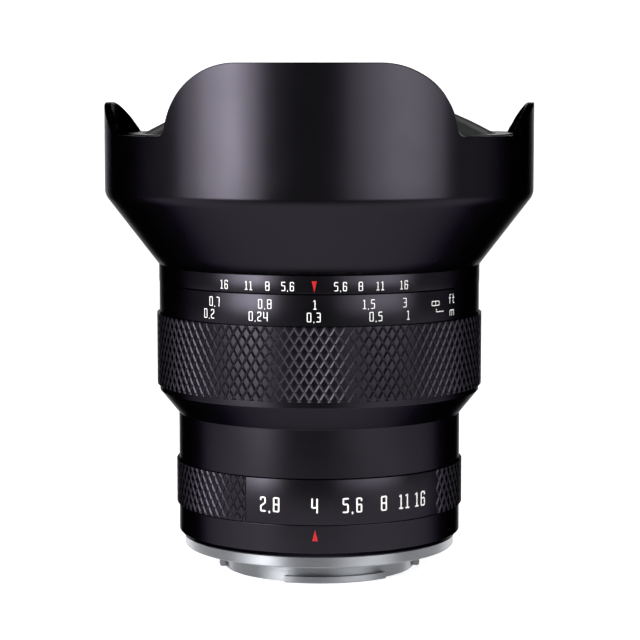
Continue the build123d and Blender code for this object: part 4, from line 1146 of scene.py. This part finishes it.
@dataclass
class ScaleMarks:
    """Painted marks on one ring: figures, lines and pointers, each laid on the ring's surface."""

    name: str
    radius: float
    body: Body
    stroke: float = 0.26
    breadth: float = 1.0
    proud: float = 0.02
    digit_gap: float = 0.34
    corner_cut: float = 0.8
    side_share: float = 0.4
    step_length: float = 0.4
    dot_sides: int = 10
    points: list[Point3] = field(default_factory=list)
    faces: list[tuple[int, ...]] = field(default_factory=list)

    def _place(self, azimuth: float, x: float, height: float) -> Point3:
        """Wrap a flat place on the ring, x millimetres right of an azimuth."""
        return around(self.radius + self.proud, azimuth + math.degrees(x / self.radius), height)

    def _eased(self, corners: list[Vector], reach: float) -> list[Vector]:
        """Cut a line's corners, so that they come out rounded under the stroke's width.

        Args:
            corners: The line's corners.
            reach: How much of each side a corner gives up.

        Returns:
            The line with two points in place of each inner corner.
        """
        eased = [corners[0]]
        for before, corner, after in zip(corners, corners[1:], corners[2:]):
            for other in (before, after):
                side = other - corner
                cut = min(reach, side.length * self.side_share)
                eased.append(corner + side.normalized() * cut)
        return eased + [corners[-1]]

    def line(self, azimuth: float, path: Sequence[Point2]) -> None:
        """Lay one painted line with round ends and joins.

        Args:
            azimuth: Azimuth that the path is measured from.
            path: Places as millimetres to the right and height.
        """
        half = self.stroke / 2
        corners = self._eased([Vector(place) for place in path], half * self.corner_cut)
        for one, two in zip(corners, corners[1:]):
            along = (two - one).normalized()
            aside = Vector((-along.y, along.x)) * half
            base = len(self.points)
            pieces = max(1, math.ceil((two - one).length / self.step_length))
            for piece in range(pieces + 1):
                middle = one.lerp(two, piece / pieces)
                for spot in (middle + aside, middle - aside):
                    self.points.append(self._place(azimuth, spot.x, spot.y))
            for piece in range(pieces):
                k = base + 2 * piece
                self.faces.append((k, k + 1, k + 3, k + 2))
        for corner in corners:
            base = len(self.points)
            for x, y in arc(corner, half, 0.0, 2 * math.pi, self.dot_sides)[:-1]:
                self.points.append(self._place(azimuth, x, y))
            self.faces.append(tuple(range(base, base + self.dot_sides)))

    def figure(self, text: str, azimuth: float, middle: float, tall: float) -> None:
        """Lay one number.

        Args:
            text: The number.
            azimuth: Azimuth of its middle.
            middle: Height of its middle.
            tall: Its height.
        """
        tall -= self.stroke
        widths = [GLYPHS[letter][0] * self.breadth for letter in text]
        x = -(sum(widths) + self.digit_gap * (len(widths) - 1)) * tall / 2
        foot = middle - tall / 2
        for letter, width in zip(text, widths):
            for path in GLYPHS[letter][1]:
                self.line(azimuth, [(x + px * self.breadth * tall, foot + py * tall)
                                    for px, py in path])
            x += (width + self.digit_gap) * tall

    def row(self, numbers: Sequence[tuple[str, float]], middle: float, tall: float) -> None:
        """Lay a row of numbers, each given with its azimuth, at one height."""
        for text, azimuth in numbers:
            self.figure(text, azimuth, middle, tall)

    def triangle(self, azimuth: float, height: float, wide: float, tall: float) -> None:
        """Lay a pointer.

        Args:
            azimuth: Its middle.
            height: The height of its tip.
            wide: Its width.
            tall: Its length, below zero where it stands over the tip.
        """
        base = len(self.points)
        for x, y in ((0.0, height), (wide / 2, height - tall), (-wide / 2, height - tall)):
            self.points.append(self._place(azimuth, x, y))
        self.faces.append((base, base + 1, base + 2))

    def build(self, material: Material) -> None:
        """Make the marks and hang them on their ring.

        Args:
            material: The paint.
        """
        mesh = bpy.data.meshes.new(self.name)
        mesh.from_pydata(self.points, [], self.faces)
        for face in mesh.polygons:
            middle = face.center
            if face.normal.x * middle.x + face.normal.y * middle.y < 0:
                face.flip()
        piece = placed(self.name, mesh, material)
        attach(piece, self.body.value)
        LOG.info("%s: %d faces", self.name, len(mesh.polygons))


@dataclass
class Scales:
    """Every painted scale of the lens. Azimuths are in degrees from the index."""

    depth_radius: float = 36.35
    band_radius: float = 36.27
    aperture_radius: float = 32.56
    cover_radius: float = 32.0
    depth_row: tuple[tuple[str, float], ...] = (
        ("16", -32.5), ("11", -22.9), ("8", -16.0), ("5.6", -9.0),
        ("5.6", 8.8), ("8", 15.7), ("11", 22.6), ("16", 31.6))
    feet_row: tuple[tuple[str, float], ...] = (
        ("0.7", -36.8), ("0.8", -17.0), ("1", 0.2), ("1.5", 18.6), ("3", 32.0), ("ft", 54.4))
    metre_row: tuple[tuple[str, float], ...] = (
        ("0.2", -39.3), ("0.24", -19.4), ("0.3", -0.2), ("0.5", 21.1), ("1", 33.4), ("m", 54.5))
    stop_row: tuple[tuple[str, float], ...] = (
        ("2.8", -17.6), ("4", -0.1), ("5.6", 14.4), ("8", 27.2), ("11", 36.3), ("16", 44.4))
    depth_middle: float = 61.85
    depth_tall: float = 1.95
    feet_middle: float = 58.0
    metre_middle: float = 55.3
    distance_tall: float = 2.05
    fine_stroke: float = 0.19
    fine_breadth: float = 1.14
    stop_middle: float = 14.1
    stop_tall: float = 3.3
    stop_stroke: float = 0.35

    def build(self, finishes: Finishes) -> None:
        """Lay the scales.

        Args:
            finishes: The lens's finishes.
        """
        depth = ScaleMarks("depth_scale", self.depth_radius, Body.BARREL, self.fine_stroke,
                           self.fine_breadth)
        depth.row(self.depth_row, self.depth_middle, self.depth_tall)
        depth.build(finishes.white_fill)
        index = ScaleMarks("depth_index", self.depth_radius, Body.BARREL)
        index.triangle(azimuth=0.0, height=60.6, wide=1.1, tall=-2.4)
        index.build(finishes.red_fill)
        distance = ScaleMarks("distance_scale", self.band_radius, Body.FOCUS, self.fine_stroke,
                              self.fine_breadth)
        distance.row(self.feet_row, self.feet_middle, self.distance_tall)
        distance.row(self.metre_row, self.metre_middle, self.distance_tall)
        self._far_mark(distance)
        distance.build(finishes.white_fill)
        stops = ScaleMarks("aperture_scale", self.aperture_radius, Body.APERTURE, self.stop_stroke)
        stops.row(self.stop_row, self.stop_middle, self.stop_tall)
        stops.build(finishes.white_fill)
        pointer = ScaleMarks("aperture_index", self.cover_radius, Body.BARREL)
        pointer.triangle(azimuth=0.0, height=8.75, wide=1.25, tall=2.5)
        pointer.build(finishes.red_fill)

    def _far_mark(self, distance: ScaleMarks) -> None:
        """Lay the mark of infinity and its angled line.

        Args:
            distance: The scale that gets it.
        """
        box = [(0.0, 56.9), (1.12, 56.9), (1.12, 57.8), (-1.12, 57.8), (-1.12, 56.9), (0.0, 56.9)]
        distance.line(45.6, box)
        distance.line(45.6, [(0.0, 56.9), (0.0, 57.8)])
        distance.line(46.0, [(0.0, 56.1), (0.0, 55.5), (2.3, 55.5)])


@dataclass
class Studio:
    """The floor, the backdrop, the lamps and the camera."""

    floor_level: float = -5.1
    floor_hole: float = 0.5
    floor_reach: float = 950.0
    wall_height: float = 1100.0
    sweep_radius: float = 350.0
    sweep_steps: int = 12
    sweep_columns: int = 96
    lamp_reach: float = 620.0
    lamp_tall: float = 640.0
    lamp_spread: float = 110.0
    # Azimuth, degrees covered and brightness: the left box is brightest at its middle
    lamps: tuple[tuple[float, float, float], ...] = (
        (-33.0, 9.0, 2.4), (-43.0, 11.0, 5.8), (-54.5, 12.0, 3.8), (-66.5, 12.0, 1.3),
        (20.0, 10.0, 0.7), (30.0, 10.0, 1.4), (47.0, 24.0, 2.1), (63.5, 9.0, 1.2),
        (-142.0, 26.0, 1.5), (140.0, 26.0, 1.2))
    camera_azimuth: float = 1.67
    camera_reach: float = 521.9
    camera_height: float = 104.73
    camera_pitch: float = 5.873
    camera_shift: float = 0.0011
    lens_mm: float = 129.45
    sensor_mm: float = 36.0
    air_tone: str = "#b8bcc4"
    air_strength: float = 0.05

    def _sweep(self) -> None:
        """Lay the paper: a round floor that curves up into a wall all round."""
        flat = self.floor_reach - self.sweep_radius
        section = [(self.floor_hole, 0.0), (flat / 3, 0.0), (flat * 2 / 3, 0.0)]
        section += arc((flat, self.sweep_radius), self.sweep_radius, -math.pi / 2, 0.0,
                       self.sweep_steps)
        section.append((self.floor_reach, self.wall_height))
        rows, columns = len(section), self.sweep_columns
        points = [around(reach, 360 * column / columns, height + self.floor_level)
                  for column in range(columns) for reach, height in section]
        faces = [(column * rows + row, column * rows + row + 1,
                  (column + 1) % columns * rows + row + 1, (column + 1) % columns * rows + row)
                 for column in range(columns) for row in range(rows - 1)]
        paper = Paper("matt_white_paper").build()
        mesh_object("paper_sweep", points, faces, paper, sharp=60)

    def _softbox(self, name: str, azimuth: float, wide: float, glow: float) -> None:
        """Stand one gridded softbox upright round the lens, facing it.

        Args:
            name: The lamp's name.
            azimuth: Degrees from the index.
            wide: Degrees that it covers, seen from the lens.
            glow: Its brightness, where white paper in plain light has 1.
        """
        lamp = bpy.data.lights.new(name, "AREA")
        lamp.shape = "RECTANGLE"
        lamp.size = 2 * self.lamp_reach * math.tan(math.radians(wide / 2)) * MM
        lamp.size_y = self.lamp_tall * MM
        lamp.energy = glow * math.pi * lamp.size * lamp.size_y
        lamp.spread = math.radians(self.lamp_spread)
        stand = bpy.data.objects.new(name, lamp)
        stand.location = around(self.lamp_reach, azimuth, self.floor_level + self.lamp_tall / 2)
        aim = Vector((0, 0, stand.location.z)) - stand.location
        stand.rotation_euler = aim.to_track_quat("-Z", "Y").to_euler()
        bpy.context.scene.collection.objects.link(stand)

    def build(self) -> None:
        """Set up the floor, the lamps and the camera."""
        scene = bpy.context.scene
        self._sweep()
        for number, (azimuth, wide, glow) in enumerate(self.lamps):
            self._softbox(f"softbox_{number + 1}", azimuth, wide, glow)
        world = bpy.data.worlds.new("studio_air")
        world.use_nodes = True
        air = world.node_tree.nodes["Background"]
        air.inputs["Color"].default_value = linear(self.air_tone)
        air.inputs["Strength"].default_value = self.air_strength
        scene.world = world
        camera = bpy.data.cameras.new("camera")
        camera.lens, camera.sensor_width = self.lens_mm, self.sensor_mm
        camera.shift_x = self.camera_shift
        eye = bpy.data.objects.new("camera", camera)
        eye.location = around(self.camera_reach, self.camera_azimuth, self.camera_height)
        eye.rotation_euler = (math.radians(90 - self.camera_pitch), 0.0,
                              math.radians(self.camera_azimuth))
        scene.collection.objects.link(eye)
        scene.camera = eye
        scene.view_settings.view_transform = "Standard"
        LOG.info("studio: paper, %d softboxes, camera", len(self.lamps))


def main() -> None:
    """Build the looks in order."""
    logging.basicConfig(level=logging.INFO, format="%(name)s: %(message)s")
    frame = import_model()
    finishes = Finishes()
    finishes.dress_frame(frame["nodes"])
    LOG.info("finishes on %d nodes", len(frame["nodes"]))
    Studio().build()
    FocusRing().build(finishes)
    ApertureRing().build(finishes)
    DepthScaleRing().build(finishes)
    PetalHood().build(finishes)
    Scales().build(finishes)


if __name__ == "__main__":
    main()
